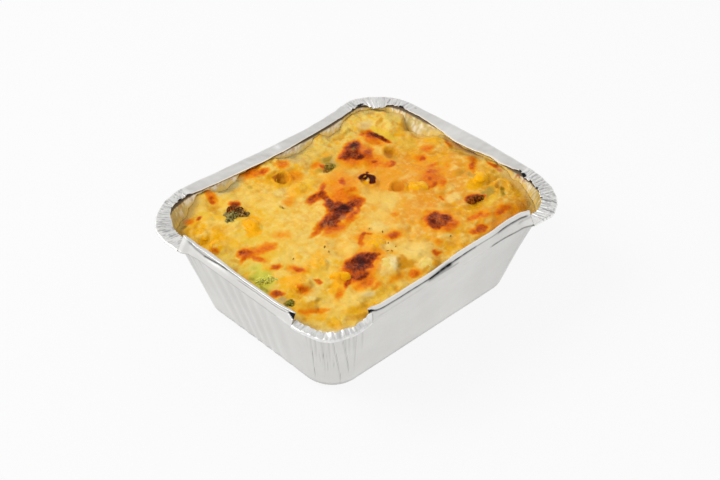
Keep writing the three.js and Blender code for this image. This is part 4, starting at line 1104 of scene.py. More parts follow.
# Browned places: x, y, half length, half width, turn, how far baked, softness.
BROWNED = [
    # the browned cross in the middle: dome, upper arm, stem, body, its two wings and its lower fringe
    (7, 17.5, 10, 7.5, 50, 0.3, 0.8), (1.5, 12.5, 5.6, 4.4, 20, 0.42, 0.8),
    (8.8, 19.2, 3.2, 1.1, 48, 0.62, 0.7), (8, 12, 2.6, 2, 0, 0.5, 0.8), (4.5, 14.8, 1.9, 1.1, 0, 0.52, 0.7),
    (0.5, 22.6, 3.2, 1.3, 30, 0.6, 0.8), (-7, 18.8, 5.6, 2.5, 8, 0.62, 0.6),
    (-7, 19.7, 4.2, 1.2, 5, 0.76, 0.7), (-10, 18.4, 2, 1.4, 0, 0.6, 0.8),
    (-3.6, 18.8, 3.4, 1.8, 60, 0.8, 0.6), (-4.8, 14.2, 4.6, 1.8, 72, 0.76, 0.6),
    (-6.2, 10.5, 4, 2.8, 55, 0.8, 0.6), (-5.5, 7.5, 4.6, 4, 0, 0.86, 0.6),
    (-4.5, 4.4, 5.6, 3.6, 10, 0.97, 0.6), (-1, 4.6, 5.8, 3.2, 10, 0.84, 0.6),
    (3.4, 4.8, 3.8, 3.4, 30, 0.64, 0.6), (2.2, 2, 4, 1.4, 45, 0.68, 0.6), (3, 8.2, 3.8, 2.4, 0, 0.46, 0.8),
    (-13, 3.6, 6.4, 3, 12, 0.84, 0.5), (-13.5, 0.8, 4.4, 2.6, 20, 0.86, 0.6),
    (-18.5, 2.8, 3.8, 2.2, 20, 0.68, 0.7), (-22.5, 0.7, 5, 1.4, 12, 0.5, 0.8),
    (-16, -1.4, 5.2, 2.6, 10, 0.58, 0.8), (-13.6, -3.8, 3.4, 2.2, 0, 0.46, 0.9),
    (-4.5, -1, 5, 1.7, 10, 0.62, 0.7), (-8, -3, 4.4, 1.6, 0, 0.42, 0.9), (-17.5, -4.4, 5, 3, 0, 0.3, 1),
    # behind the cross
    (28.5, 34.2, 7, 3.6, 28, 0.86, 0.5), (31.6, 36.2, 3, 1.8, 20, 0.95, 0.6),
    (23, 32.4, 4, 2.8, 30, 0.76, 0.6), (26.5, 29.5, 3.8, 3.4, 0, 0.86, 0.5),
    (27.6, 26.8, 2.4, 1.6, 0, 0.92, 0.6), (26.5, 30, 9, 6.4, 30, 0.48, 0.7),
    (32, 27.4, 3, 2.4, 40, 0.64, 0.7), (33.8, 28, 2.8, 2.2, 30, 0.52, 0.8),
    (30, 24.6, 2.4, 2.8, 0, 0.5, 0.8), (29.3, 20.4, 1.7, 1.4, 0, 0.64, 0.7),
    (28.8, 18.2, 2.6, 2.2, 0, 0.46, 0.9), (33, 13.6, 2.6, 1.3, 15, 0.62, 0.7),
    (35, 14.8, 1.2, 1.4, 0, 0.56, 0.8), (32, 15.4, 3.6, 2.6, 0, 0.42, 1),
    (44.2, 33.8, 5.6, 1.7, 94, 0.97, 0.5), (42.4, 36, 4.2, 2.2, 72, 0.68, 0.7),
    (41, 34.6, 6.4, 3.2, 80, 0.44, 0.9), (40.2, 39.5, 1.6, 1.2, 0, 0.52, 0.8),
    (44.8, 29, 3.2, 1.1, 92, 0.7, 0.6), (18, 15.1, 2.9, 2.3, 5, 1.1, 0.25),
    (20, 13.3, 1.6, 3, 0, 1.1, 0.25), (18.4, 10.9, 2.1, 1.7, 20, 1.1, 0.25),
    (21.4, 16.4, 0.8, 0.6, 0, 1.1, 0.3), (24, 17, 3, 3, 0, 0.28, 1), (29.5, 21.5, 5.4, 4.6, 0, 0.42, 0.9),
    (41, 3, 6, 5, 0, 0.26, 1), (10, 33.2, 1.6, 2.6, 0, 0.6, 0.8), (8.6, 36, 3, 1.6, 20, 0.4, 0.9),
    (46.3, 7.8, 1.8, 1.6, 0, 0.64, 0.7), (45.6, 8.4, 3.6, 2.8, 0, 0.42, 0.9),
    (53.5, 11.6, 3.4, 2.8, 0, 0.44, 0.9), (25.6, 9, 12, 7, 20, 0.2, 1),
    (-16, 51.4, 5.6, 3.6, -12, 0.46, 0.7), (-11, 48.5, 3.2, 2, -20, 0.58, 0.7),
    (-14, 53.8, 6, 1.4, 0, 0.52, 0.8), (-1.5, 46.8, 3.4, 3.4, 60, 0.42, 0.8),
    (-4, 36.4, 4.4, 4.6, 30, 0.3, 1), (-17.5, 24.4, 3.4, 2.8, 30, 0.28, 1),
    # left part
    (-57.4, 43, 2.2, 2.2, 0, 0.44, 0.8), (-38.8, 50.6, 6, 2, 74, 0.4, 0.7),
    (-41, 46.6, 1.8, 1.1, 65, 0.72, 0.6), (-39.6, 49.2, 1.2, 0.9, 0, 0.7, 0.6),
    (-53.2, 41.3, 1.6, 0.9, 15, 0.74, 0.6), (-62, 20, 2, 2, 0, 0.5, 0.8),
    (-53.6, 10, 3.2, 3.4, -30, 0.62, 0.8), (-54, 11.4, 1.8, 1.5, 0, 0.74, 0.6),
    (-47, 7.6, 5.8, 3, -12, 0.46, 0.8), (-52.4, 3.8, 3.8, 1.4, -70, 0.52, 0.8),
    (-35, 9, 3.8, 2.8, -20, 0.26, 1), (-57, 8, 3, 1.2, 30, 0.5, 0.8), (-35.8, 38.6, 2.6, 2, 55, 0.78, 0.5),
    (-37.6, 37, 1.4, 1, 20, 0.6, 0.7),
    # near part
    (-26, -25.4, 5.6, 4, 15, 0.88, 0.45), (-20.4, -25.8, 5.2, 3.4, -15, 0.92, 0.45),
    (-24, -28.5, 6.2, 2.8, 10, 0.86, 0.5), (-30, -31.6, 5.2, 3.2, 15, 0.74, 0.6),
    (-29.5, -33.6, 3.6, 1.5, 10, 0.82, 0.7), (-35.6, -31.6, 4.4, 1.2, 35, 0.74, 0.6),
    (-16.4, -26.6, 1.8, 1.4, 0, 0.82, 0.6), (-14.8, -27.4, 1.2, 0.9, 0, 0.64, 0.7),
    (-22, -31.2, 1.8, 1.4, 30, 0.64, 0.6), (-25, -28, 11.4, 7.4, 18, 0.44, 0.6),
    (-31, -36.4, 5.6, 3, 10, 0.44, 0.8), (-30, -38.6, 3.2, 1.6, 0, 0.42, 0.9),
    (-29, -41.5, 2.8, 1.4, 10, 0.38, 1), (-13.2, -15.9, 4.4, 1.2, 48, 0.54, 0.7),
    (-10, -13.4, 1.9, 1.2, 0, 0.64, 0.6), (-8.2, -15, 2, 0.9, -45, 0.54, 0.7),
    (-11, -14.4, 4.6, 3.2, 20, 0.3, 1), (-1.3, -22.6, 2.8, 2.3, 0, 0.62, 0.6),
    (-1.3, -22.8, 4, 3.2, 0, 0.4, 0.9), (3.2, -43, 2, 2, 20, 0.58, 0.7),
    (-12.5, -46.6, 2.8, 2.2, 0, 0.5, 0.8), (-45, -12.5, 3.6, 1.6, -62, 0.62, 0.7),
    (-45.5, -12, 4.4, 2.8, -62, 0.32, 1), (-50.4, -5.2, 2, 1.5, 0, 0.58, 0.7),
    (-61, -18.2, 2.6, 2.3, 0, 0.74, 0.6), (-52, -22.8, 3, 1.9, 80, 0.58, 0.7),
    (-52, -23, 4, 3, 80, 0.34, 1), (-44.5, -23.4, 2.2, 1.1, 80, 0.56, 0.7),
    (-57.4, -36, 5, 1.4, -35, 0.42, 0.9), (-43.4, -35, 3.8, 1.6, 30, 0.4, 0.9),
    (-20, -43.4, 6, 1.8, 5, 0.28, 1), (9, -38.6, 2.4, 2.2, 20, 0.36, 1), (-61, -34, 1.2, 2.4, 0, 0.36, 1),
    # right part
    (19, -25.8, 4.8, 3, 20, 0.88, 0.5), (16.4, -29.6, 2.4, 3.4, 0, 0.84, 0.5),
    (23, -29.6, 2.2, 3.6, 0, 0.84, 0.5), (19.6, -31, 3.6, 2.4, 0, 0.76, 0.6),
    (19.6, -28.6, 6.8, 7.6, 0, 0.52, 0.6), (20, -34.6, 4.6, 2.8, 0, 0.5, 0.8),
    (39, -5, 7.6, 5.4, 20, 0.44, 0.8), (35.6, -9.6, 3.4, 1.2, 20, 0.58, 0.7),
    (42, -2, 2.8, 1.8, -30, 0.54, 0.8), (40, -11, 3.4, 1.7, 30, 0.46, 0.8), (46, 1, 3.6, 1.5, 0, 0.46, 0.9),
    (38, -4.8, 1.8, 1.3, 0, 0.58, 0.7), (31.3, -18.4, 0.9, 2.4, 0, 0.54, 0.7),
    (9, -13, 2.6, 1.8, 10, 0.36, 1), (33, -37.2, 5.6, 1.6, -5, 0.5, 0.8),
    (36, -39.5, 5.6, 1.5, -20, 0.42, 0.9), (44.5, -42, 5.6, 2.4, 10, 0.52, 0.8),
    (42.5, -43, 2.2, 1.5, 0, 0.6, 0.7), (28, -44.6, 3.6, 2.4, 10, 0.64, 0.7),
    (24.5, -44, 2.4, 1.8, 0, 0.56, 0.8), (58.5, -11.6, 5, 1.7, 40, 0.56, 0.7),
    (41.4, -28, 4.4, 2.7, -18, 0.86, 0.45), (44, -29.6, 2.4, 1.6, 0, 0.95, 0.6),
    (66, -4, 1.3, 4.4, 5, 0.84, 0.6), (65.4, -17.5, 1.2, 3.4, 0, 0.66, 0.7),
    (65, -22, 1.1, 1.8, 0, 0.58, 0.7), (65, 3.4, 1.6, 3.4, 0, 0.54, 0.8),
    (63.4, 8, 1.4, 3.4, -20, 0.46, 0.9), (62, -8, 2, 3, 30, 0.4, 0.9), (50, -4, 3, 2, 10, 0.3, 1),
]
# Pale things that lie over the browning: the cheese beyond the broken crust, the tube's filling, and pale
# blisters that also carry painted sheen.
OVERLAID = [
    (47.6, 34, 8, 2.3, 93, "lemon", 0.95, 0.25), (15.7, 11.9, 2.4, 1.1, 28, "corn", 1, 0.35),
    (17.2, 12.9, 0.9, 0.6, 30, "cream", 0.7, 0.5), (-8.8, 0.7, 2.2, 1.3, 20, "blister_sheen", 0.9, 0.7),
    (-17.5, 1.7, 1.7, 1, 25, "blister_sheen", 0.9, 0.7), (-15, 0.6, 2, 0.8, 40, "blister_sheen", 0.6, 0.8),
    (-2.8, 1.7, 1.4, 0.9, 30, "blister_sheen", 0.6, 0.8), (-4.6, 14.6, 0.9, 0.6, 0, "blister_sheen", 0.8, 0.7),
    (-7.2, 8.6, 2.2, 0.7, 30, "blister_sheen", 0.55, 0.8), (26, 30.6, 1.6, 1, 0, "blister_sheen", 0.4, 0.9),
    (29.2, 34, 1.4, 0.8, 40, "moss", 0.35, 0.9), (19.6, -28.2, 1.4, 3, -20, "blister_sheen", 0.45, 0.8),
]


def blot(x, y, place, spread, warp):
    """Strength of one mark, 1 in its middle and 0 outside, with an uneven edge."""
    centre_x, centre_y, half_length, half_width, turn = place
    along, across = turned_place(x, y, centre_x, centre_y, turn)
    reach = np.sqrt((along / half_length) ** 2 + (across / half_width) ** 2) + warp
    return smooth((1 + spread * 0.5 - reach) / spread)


def ragged(x, y, place, seed):
    """How far a mark's edge wanders, as a share of the mark."""
    wave = math.sqrt(place[2] * place[3]) * 0.8 + 0.8
    wander = 0.24 * layered_noise(x / wave, y / wave, 2, seed, 0.6)
    return wander + 0.06 * gradient_noise(x / 1.1, y / 1.1, seed + 5)


# Where the cheese lies as one smooth skin: x, y, half length, half width and turn.
SMOOTH_SKINS = [(8, 2, 46, 27, -8), (-26, 12, 22, 17, 10)]


def skin_share(x, y):
    """1 where the cheese lies as one smooth skin, 0 where the pieces under it show."""
    edge = 0.35 * layered_noise(x / 14.0, y / 14.0, 2, 64)
    return np.maximum(*(blot(x, y, place, 0.6, edge) for place in SMOOTH_SKINS))


def baked_amount(seen_x, seen_y):
    """How far the crust is browned at a place, from 0 to a little over 1."""
    total = np.zeros_like(seen_x)
    for *place, level, spread in BROWNED:
        near = np.hypot(seen_x - place[0], seen_y - place[1]) < 2 * max(place[2:4]) + 2
        x, y = seen_x[near], seen_y[near]
        warp = ragged(x, y, place, 73) * min(1.0, spread * 1.6)
        mark = level * blot(x, y, place, spread * 1.8, warp)
        total[near] += mark**4
    total = total**0.25
    crumb = layered_noise(seen_x / 1.5, seen_y / 1.5, 3, 74, 0.65)
    return total * (1 + 0.2 * crumb * smooth((1.05 - total) * 8))


def baked_colour(amount):
    stops = np.array([level for level, _ in BAKED])
    colours = np.array([albedo(rgb) for _, rgb in BAKED])
    return np.stack([np.interp(amount, stops, colours[:, channel]) for channel in range(3)], -1)


def crust_colours(x, y, z):
    seen_x, seen_y = seen_place(x, y, z)
    bend_x = 0.7 * layered_noise(seen_x / 5.0, seen_y / 5.0, 2, 61, 0.5)
    bend_y = 0.7 * layered_noise(seen_x / 5.0, seen_y / 5.0, 2, 62, 0.5)
    px, py = seen_x + bend_x, seen_y + bend_y
    colour = np.broadcast_to(albedo("cheese"), (len(x), 3)).copy()

    def lay(name, strength):
        nonlocal colour
        colour = lerp(colour, albedo(name), np.clip(strength, 0, 1)[:, None])

    def lay_marks(marks, wander, softer=1.0):
        for *place, name, strength, spread in marks:
            warp = wander * ragged(seen_x, seen_y, place, 75)
            lay(name, strength * blot(px, py, place, spread * softer, warp))

    lay_marks(TONES, 1.0, 1.6)
    # Mottling: drifts of a few millimetres, stronger where the pieces underneath show.
    skin = skin_share(x, y)
    drift = layered_noise(seen_x / 6.0, seen_y / 6.0, 3, 71, 0.6)
    lay("butter", 0.65 * smooth((drift - 0.05) * 1.8))
    lay("gold", lerp(0.75, 0.35, skin) * smooth((-drift - 0.08) * 2.2))
    fleck = layered_noise(seen_x / 2.6 + 3, seen_y / 2.6, 3, 72, 0.6)
    lay("amber", 0.5 * smooth((fleck - 0.12) * 2.4) * smooth((seen_x + 52) / 40))
    lay("pale", 0.45 * smooth((-fleck - 0.25) * 2.2))
    # Painted shade in the relief's hollows and painted light on its crests.
    relief = fine_relief(x, y)
    lay("shade", lerp(0.75, 0.3, skin) * smooth((-relief - 0.1) * 1.5))
    lay("pale", 0.3 * smooth((relief - 0.25) * 1.5))
    lay_marks(PATCHES, 1.2)
    amount = baked_amount(px, py)
    colour = lerp(colour, baked_colour(amount), smooth(amount / 0.26)[:, None])
    # Painted sheen on the burnt crust, in the blister colour.
    sheen = layered_noise(seen_x / 1.1, seen_y / 1.6, 2, 76, 0.6)
    burnt = smooth((amount - 0.6) * 5) * smooth((1.0 - amount) * 8)
    lay("blister_sheen", 0.28 * smooth((sheen - 0.1) * 2.5) * burnt)
    lay_marks(OVERLAID, 0.8)
    return colour


def burntness(x, y, z):
    """0 on plain cheese, 1 where it is burnt enough to bubble."""
    return smooth((baked_amount(*seen_place(x, y, z)) - 0.5) / 0.35)


# ---------------------------------------------------------------- crust mesh

# How many cells the crust's mesh has along X and Y.
GRID = (340, 256)
# The highest that the crust reaches next to the wall, below the folded band.
EDGE_ROOF = 46.1
# Heights of the rings down the food's sides, as shares of its edge's height.
SIDE_HEIGHTS = [0.92, 0.8, 0.62, 0.45, 0.2, 0.07]
# How far in from the foil's middle surface the crust's edge lies, and how much further in than the foil's
# thickness the food's sides lie.
CRUST_GAP = FOIL / 2 - 0.02
SIDE_GAP = 0.45
# Kernels raise the crust only this near to them.
KERNEL_REACH = 8


def edge_roughness(x, y):
    return 0.5 * layered_noise(x / 4.5, y / 4.5, 2, 87)


def fine_relief(x, y):
    rough = lerp(1.0, 0.5, skin_share(x, y))
    relief = 0.75 * rough * layered_noise(x / 5.4, y / 5.4, 2, 81)
    relief = relief + 0.14 * rough * layered_noise(x / 2.0, y / 2.0, 2, 83)
    return relief + 0.05 * gradient_noise(x / 0.8, y / 0.8, 85)


def dressed_height(x, y):
    """Crust height with the finer relief, the pieces' collars and the open tubes' bores."""
    z = crust_height(x, y, 1.1)
    z = z + fine_relief(x, y)
    inside = distance_inside(WALL_TOP, x, y)
    z = z + edge_roughness(x, y) * (1 - smooth((inside - 2) / 6))
    burnt = burntness(x, y, z)
    bubbles = np.abs(gradient_noise(x / 1.5, y / 1.5, 91))
    bubbles = bubbles + 0.5 * np.abs(gradient_noise(x / 0.8, y / 0.8, 92))
    z = z + burnt * (0.15 + 0.55 * (bubbles - 0.4))
    for x0, y0, sunk, turn, tilt, roll, shown in PIECES["corn"]:
        place = placement(x0, y0, sunk, turn, tilt, roll)
        half = (KERNEL["length"] / 2, KERNEL["width"] / 2, KERNEL["thickness"] / 2)
        top, over = dome(x, y, place, half)
        near = (x - x0) ** 2 + (y - y0) ** 2 < KERNEL_REACH**2
        cover = 0.7 * gradient_noise(x / 2.7, y / 2.7, 95) + 0.2 * gradient_noise(x / 1.1, y / 1.1, 96)
        raised = smooth_max(z, top - shown + cover, 1.1)
        z = np.where(near & over, raised, z)
    for (x0, y0, sunk, turn, tilt), depth in zip(PIECES["macaroni"], MOUTH_DEPTHS):
        place = placement(x0, y0, sunk, turn, tilt)
        axis = np.array(place.to_3x3() @ Vector((0, 0, 1)))
        origin = np.array(place.translation)
        plane = origin[2] - (axis[0] * (x - x0) + axis[1] * (y - y0)) / axis[2]
        reach = np.sqrt((x - x0) ** 2 + (y - y0) ** 2 + (plane - origin[2]) ** 2)
        uneven = reach + 0.35 * gradient_noise(x / 2.0, y / 2.0, 94)
        collar = smooth((MACARONI["outer"] + 3.0 - uneven) / 3.4)
        lip = plane + 0.4 + 0.25 * gradient_noise(x / 2.4, y / 2.4, 97)
        z = smooth_max(z, lerp(z - 2, lip, collar), 0.8)
        z = z - depth * smooth((MACARONI["inner"] + 0.4 - uneven) / 0.8)
    for x0, y0, sunk, turn, tilt, size in PIECES["potato"]:
        top = cube_top(x, y, placement(x0, y0, sunk, turn, tilt), size)
        cover = 0.3 * gradient_noise(x / 2.2, y / 2.2, 98) - 0.12
        z = smooth_max(z, top + cover, 0.7)
    roof = EDGE_ROOF + 2.5 * smooth((inside - 3) / 4)
    return -smooth_max(-z, -roof, 0.5)


def cube_top(x, y, matrix, size):
    """Top of a rounded cube seen from above, falling away outside its outline."""
    rotation = np.array(matrix.to_3x3())
    centre = np.array(matrix.translation)
    normal = rotation[:, 2]
    peak = centre + normal * size[2] / 2
    plane = peak[2] - (normal[0] * (x - peak[0]) + normal[1] * (y - peak[1])) / normal[2]
    along = np.abs(rotation[0, 0] * (x - peak[0]) + rotation[1, 0] * (y - peak[1])) - size[0] / 2
    across = np.abs(rotation[0, 1] * (x - peak[0]) + rotation[1, 1] * (y - peak[1])) - size[1] / 2
    beyond = np.maximum(smooth_max(along, across, 1.2) + 0.7, 0)
    return plane - 0.35 * beyond**2 - 0.4 * beyond


def build_crust():
    count_u, count_v = GRID
    u, v = np.meshgrid(np.linspace(-1, 1, count_u + 1), np.linspace(-1, 1, count_v + 1), indexing="ij")
    u, v = u.ravel(), v.ravel()
    ring = np.maximum(np.abs(u), np.abs(v))
    safe = np.maximum(ring, 1e-9)
    side = np.where(np.abs(u) >= np.abs(v), np.where(u > 0, 0, 2), np.where(v > 0, 1, 3))
    share = np.choose(side, [v, -u, -v, u]) / safe
    reach = np.array(REACH)[side % 2]
    s = np.array(SIDE_START)[side] + reach + share * (reach + CORNER_ARC / 2)
    place = outline_place(s)

    def level_points(height):
        level = wall_level(height)
        shift, _ = wall_shift(s, height)
        points = outline_points(place, *level)
        return points + place[3] * (shift - CRUST_GAP)[:, None]

    # The edge lies against the wall at the height that the crust has there, found in two steps.
    edge = level_points(np.full_like(s, LEDGE_HEIGHT - 4))
    for _ in range(2):
        rim_height = crust_height(edge[:, 0], edge[:, 1])
        rim_height = np.minimum(rim_height + edge_roughness(edge[:, 0], edge[:, 1]), EDGE_ROOF)
        edge = level_points(rim_height)
    flat = edge * ring[:, None]
    x, y = flat[:, 0], flat[:, 1]
    z = dressed_height(x, y)
    z = np.where(ring > 1 - 1e-6, rim_height, lerp(z, rim_height, smooth((ring - 0.955) / 0.045)))
    vertices = np.column_stack([x, y, z])
    ids = np.arange(len(vertices)).reshape(count_u + 1, count_v + 1)
    faces = np.stack([ids[:-1, :-1], ids[1:, :-1], ids[1:, 1:], ids[:-1, 1:]], -1).reshape(-1, 4).tolist()
    border = np.concatenate([ids[:, 0], ids[-1, 1:], ids[-2::-1, -1], ids[0, -2:0:-1]])
    rings = [border]
    for level_share in SIDE_HEIGHTS:
        height = vertices[border, 2] * level_share
        level = wall_level(height)
        shift, _ = wall_shift(s[border], height)
        points = outline_points([part[border] for part in place], *level)
        points = points + place[3][border] * (np.minimum(shift, 0.3) - FOIL - SIDE_GAP)[:, None]
        rings.append(np.arange(len(vertices), len(vertices) + len(border)))
        vertices = np.vstack([vertices, np.column_stack([points, height])])
    bottom = len(vertices)
    vertices = np.vstack([vertices, [[0, 0, vertices[rings[-1], 2].mean()]]])
    for upper, lower in zip(rings[:-1], rings[1:]):
        faces += np.stack([np.roll(upper, -1), upper, lower, np.roll(lower, -1)], -1).tolist()
    last = rings[-1]
    faces += np.stack([np.roll(last, -1), last, np.full_like(last, bottom)], -1).tolist()
    crust = new_mesh("baked_cheese_crust", vertices, faces)
    paint = crust_colours(vertices[:, 0], vertices[:, 1], vertices[:, 2])
    by_film = smooth((ring - 0.935) / 0.05) * (1 - smooth((z - 44.3) / 0.8))
    paint[:len(ring)] = lerp(paint[:len(ring)], albedo("film"), 0.45 * by_film[:, None])
    # Painted shadow on the crust's edge just under the folded band.
    at_band = smooth((ring - 0.984) / 0.014) * smooth((z - 44.3) / 0.8)
    at_band = at_band * (1 - ridge(signed_gap(s, FRONT_CORNER) / 8, 2.6))
    paint[:len(ring)] = lerp(paint[:len(ring)], albedo("shadow_under_band"), 0.7 * at_band[:, None])
    add_colours(crust, "paint", paint)
    add_values(crust, "burnt", burntness(vertices[:, 0], vertices[:, 1], vertices[:, 2]))
    return crust


# ---------------------------------------------------------------- toppings


def sphere_points(rows, columns):
    """A ball's vertices and faces, with a pole at each end."""
    angle = np.linspace(0, math.pi, rows + 1)[1:-1]
    turn = np.linspace(0, 2 * math.pi, columns, endpoint=False)
    a, t = np.meshgrid(angle, turn, indexing="ij")
    points = np.stack([np.sin(a) * np.cos(t), np.sin(a) * np.sin(t), np.cos(a)], -1).reshape(-1, 3)
    points = np.vstack([[[0, 0, 1]], points, [[0, 0, -1]]])
    faces = []
    last = len(points) - 1

    def at(i, j):
        return 1 + i * columns + j % columns

    for j in range(columns):
        faces.append((0, at(0, j), at(0, j + 1)))
        faces.append((last, at(rows - 2, j + 1), at(rows - 2, j)))
        for i in range(rows - 2):
            faces.append((at(i, j), at(i + 1, j), at(i + 1, j + 1), at(i, j + 1)))
    return points, faces


def placed(matrix, points):
    rotation = np.array(matrix.to_3x3())
    return points @ rotation.T + np.array(matrix.translation)


# Rows and columns of the kernels, and of the florets' heads and buds.
KERNEL_GRID, HEAD_GRID, BUD_GRID = (22, 34), (12, 18), (6, 8)


def build_kernel(name, spec, seed):
    x, y, sunk, turn, tilt, roll, _ = spec
    points, faces = sphere_points(*KERNEL_GRID)
    squarer = np.sign(points) * np.abs(points) ** 0.8
    taper = 1 - 0.2 * (1 - points[:, 0])
    dent = 1 - 0.12 * np.exp(-(((points[:, 0] - 0.75) / 0.4) ** 2)) * (points[:, 2] > 0)
    rough = 1 + 0.025 * gradient_noise(points[:, 0] * 2 + seed, points[:, 1] * 2 + points[:, 2], seed)
    shaped = np.column_stack([
        squarer[:, 0] * KERNEL["length"] / 2 * rough,
        squarer[:, 1] * KERNEL["width"] / 2 * taper * rough,
        points[:, 2] * KERNEL["thickness"] / 2 * taper * dent * rough,
    ])
    return new_mesh(name, placed(placement(x, y, sunk, turn, tilt, roll), shaped), faces)


# The small heads that make up each floret: x and y from its middle, lift, radius and how browned it is.
# Buds for each mm of a head's radius, their least and greatest radius, and the turn from each to the next.
BUDS_PER_MM = 16
BUD_RADII = (0.3, 0.62)
GOLDEN_ANGLE = 2.39996
FLORET_HEADS = {
    1: [(-4.6, -2.8, -0.3, 2.2, 0), (-1.6, -1, 0.3, 2.5, 0.1), (1.8, -2.2, 0, 2.1, 0.5),
        (3.2, 0.6, 0, 1.9, 0.7), (0.8, 2.4, 0.5, 2.1, 1), (-2.6, 1.6, -0.4, 1.6, 0.2),
        (4.4, -3, -0.6, 1.1, 0.4), (-5.8, -5, -0.9, 1, 0), (-0.2, -4.4, -0.8, 1.1, 0.1),
        (2.6, 3.6, 0.1, 1.2, 1)],
    2: [(-2.2, 0.3, 0, 1.7, 1), (0.6, -0.2, 0.1, 1.9, 0.8), (3, -0.9, -0.2, 1.2, 0.3)],
    3: [(0, 0, -0.2, 2.3, 0), (-2.6, 2.2, -0.6, 1.7, 0), (1.8, -2, -0.6, 1.4, 0.1)],
    4: [(0, 0, 0, 1.4, 0), (1.3, 1, -0.2, 1, 0.3)],
    5: [(0, 0, -0.4, 2.1, 0.3), (-2.8, -1.6, -0.6, 1.6, 0.6), (2, -1, -0.8, 1.3, 0.1)],
}


def build_floret(name, spec, seed):
    sunk = spec[2]
    draws = seeded_draws(seed)
    buds, bud_faces = sphere_points(*BUD_GRID)
    core, core_faces = sphere_points(*HEAD_GRID)
    vertices, faces, shade, brown = [], [], [], []

    def add(shape, shape_faces, light, browned):
        start = sum(len(part) for part in vertices)
        vertices.append(shape)
        faces.extend(tuple(index + start for index in face) for face in shape_faces)
        shade.append(np.full(len(shape), light))
        brown.append(np.full(len(shape), browned))

    for head_x, head_y, lift, radius, browned in FLORET_HEADS[seed]:
        middle = np.array([head_x, head_y, lift + sunk])
        add(core * [radius * 0.85, radius * 0.85, radius * 0.7] + middle, core_faces, 0.1, browned)
        bud_count = int(BUDS_PER_MM * radius)
        for i in range(bud_count):
            height = 1 - 1.1 * (i + 0.5) / bud_count
            angle = i * GOLDEN_ANGLE + 0.7 * next(draws)
            flat = math.sqrt(max(0.0, 1 - height * height))
            direction = np.array([flat * math.cos(angle), flat * math.sin(angle), height * 0.8])
            size = lerp(*BUD_RADII, next(draws))
            bud = buds * size + middle + direction * radius * lerp(0.82, 1.0, next(draws))
            light = next(draws)
            add(bud, bud_faces, light, np.clip(browned + 0.3 * (next(draws) - 0.5), 0, 1))
    piece = new_mesh(name, placed(placement(*spec), np.vstack(vertices)), faces)
    add_values(piece, "shade", np.concatenate(shade))
    add_values(piece, "brown", np.concatenate(brown))
    return piece


CUBE_STEPS = 12


def build_cube(name, spec, seed):
    x, y, sunk, turn, tilt, size = spec
    step = np.linspace(-0.5, 0.5, CUBE_STEPS + 1)
    points, faces, index = [], [], {}

    def vertex(position):
        key = tuple(np.round(position, 5))
        if key not in index:
            index[key] = len(points)
            points.append(position)
        return index[key]

    for axis in range(3):
        others = [k for k in range(3) if k != axis]
        for end in (-0.5, 0.5):
            for i in range(CUBE_STEPS):
                for j in range(CUBE_STEPS):
                    quad = []
                    for a, b in ((i, j), (i + 1, j), (i + 1, j + 1), (i, j + 1)):
                        position = [0.0, 0.0, 0.0]
                        position[axis] = end
                        position[others[0]], position[others[1]] = step[a], step[b]
                        quad.append(vertex(position))
                    faces.append(tuple(quad))
    points = np.array(points)
    most = np.abs(points).max(1)
    length = np.linalg.norm(points, axis=1)
    rounding = lerp(1, most / length, 0.3 + 0.2 * smooth((length - 0.6) * 4))
    rough = 1 + 0.03 * gradient_noise(points[:, 0] * 3 + seed, points[:, 1] * 3 + points[:, 2] * 2, seed)
    shaped = points * (rounding * rough)[:, None] * np.array(size)
    piece = new_mesh(name, placed(placement(x, y, sunk, turn, tilt), shaped), faces)
    clean_mesh(piece)
    return piece


TUBE_COLUMNS = 48


def build_tube(name, spec, seed):
    outer, inner, length = MACARONI["outer"], MACARONI["inner"], MACARONI["length"]
    angle = np.linspace(0, 2 * math.pi, TUBE_COLUMNS, endpoint=False)
    # Radius and height of each ring: up the outside, over the lip and down the bore.
    profile = [
        (outer - 0.4, -length), (outer, -length + 0.5), (outer, -6), (outer, -3), (outer, -0.9),
        (outer - 0.12, -0.4), (outer - 0.4, -0.1), (outer - 0.75, 0), (inner + 0.3, -0.08),
        (inner + 0.08, -0.35), (inner, -1), (inner, -3), (inner, -6), (inner, -length),
    ]
    wobble = 1 + 0.04 * np.cos(2 * angle + seed) + 0.02 * np.cos(3 * angle + 2 * seed)
    lip = 0.14 * np.cos(2 * angle + 1.7 * seed) + 0.08 * np.cos(5 * angle + seed)
    points = []
    for radius, z in profile:
        around, height = radius * wobble, z + lip * math.exp(z / 1.5)
        points.append(np.column_stack([around * np.cos(angle), around * np.sin(angle), height]))
    ids = np.arange(len(profile) * TUBE_COLUMNS).reshape(len(profile), TUBE_COLUMNS)
    beside, beyond = np.roll(ids, -1, axis=1), np.roll(ids, -1, axis=0)
    faces = np.stack([ids, beside, np.roll(beyond, -1, axis=1), beyond], -1).reshape(-1, 4).tolist()
    piece = new_mesh(name, placed(placement(*spec), np.vstack(points)), faces)
    radii, heights = (np.repeat(values, TUBE_COLUMNS) for values in zip(*profile))
    add_values(piece, "bore", smooth((inner + 0.25 - radii) / 0.25) * smooth((0.2 - heights) / 1.0))
    clean_mesh(piece)
    return piece


# Dried herb flecks and browned crumbs on the crust, as seen in the photograph: x, y, length and turn.
FLECKS = [
    (-27.5, -9, 1.7, 40), (-28.3, -12.4, 1.5, 70), (-42, -6, 1.1, 10), (-6.6, -25, 1.3, 60),
    (-10.4, -28.6, 1.2, 140), (-9.2, -29.8, 1.3, 100), (-6, -28.8, 1.1, 30), (-3.1, -18, 1.3, 60),
    (-5.7, -12.8, 0.9, 20), (15.2, -39.6, 1.1, 15), (-22.4, 22.8, 1.4, 80), (-15, -27.6, 1.0, 60),
]
FLECK_CORNERS = 8


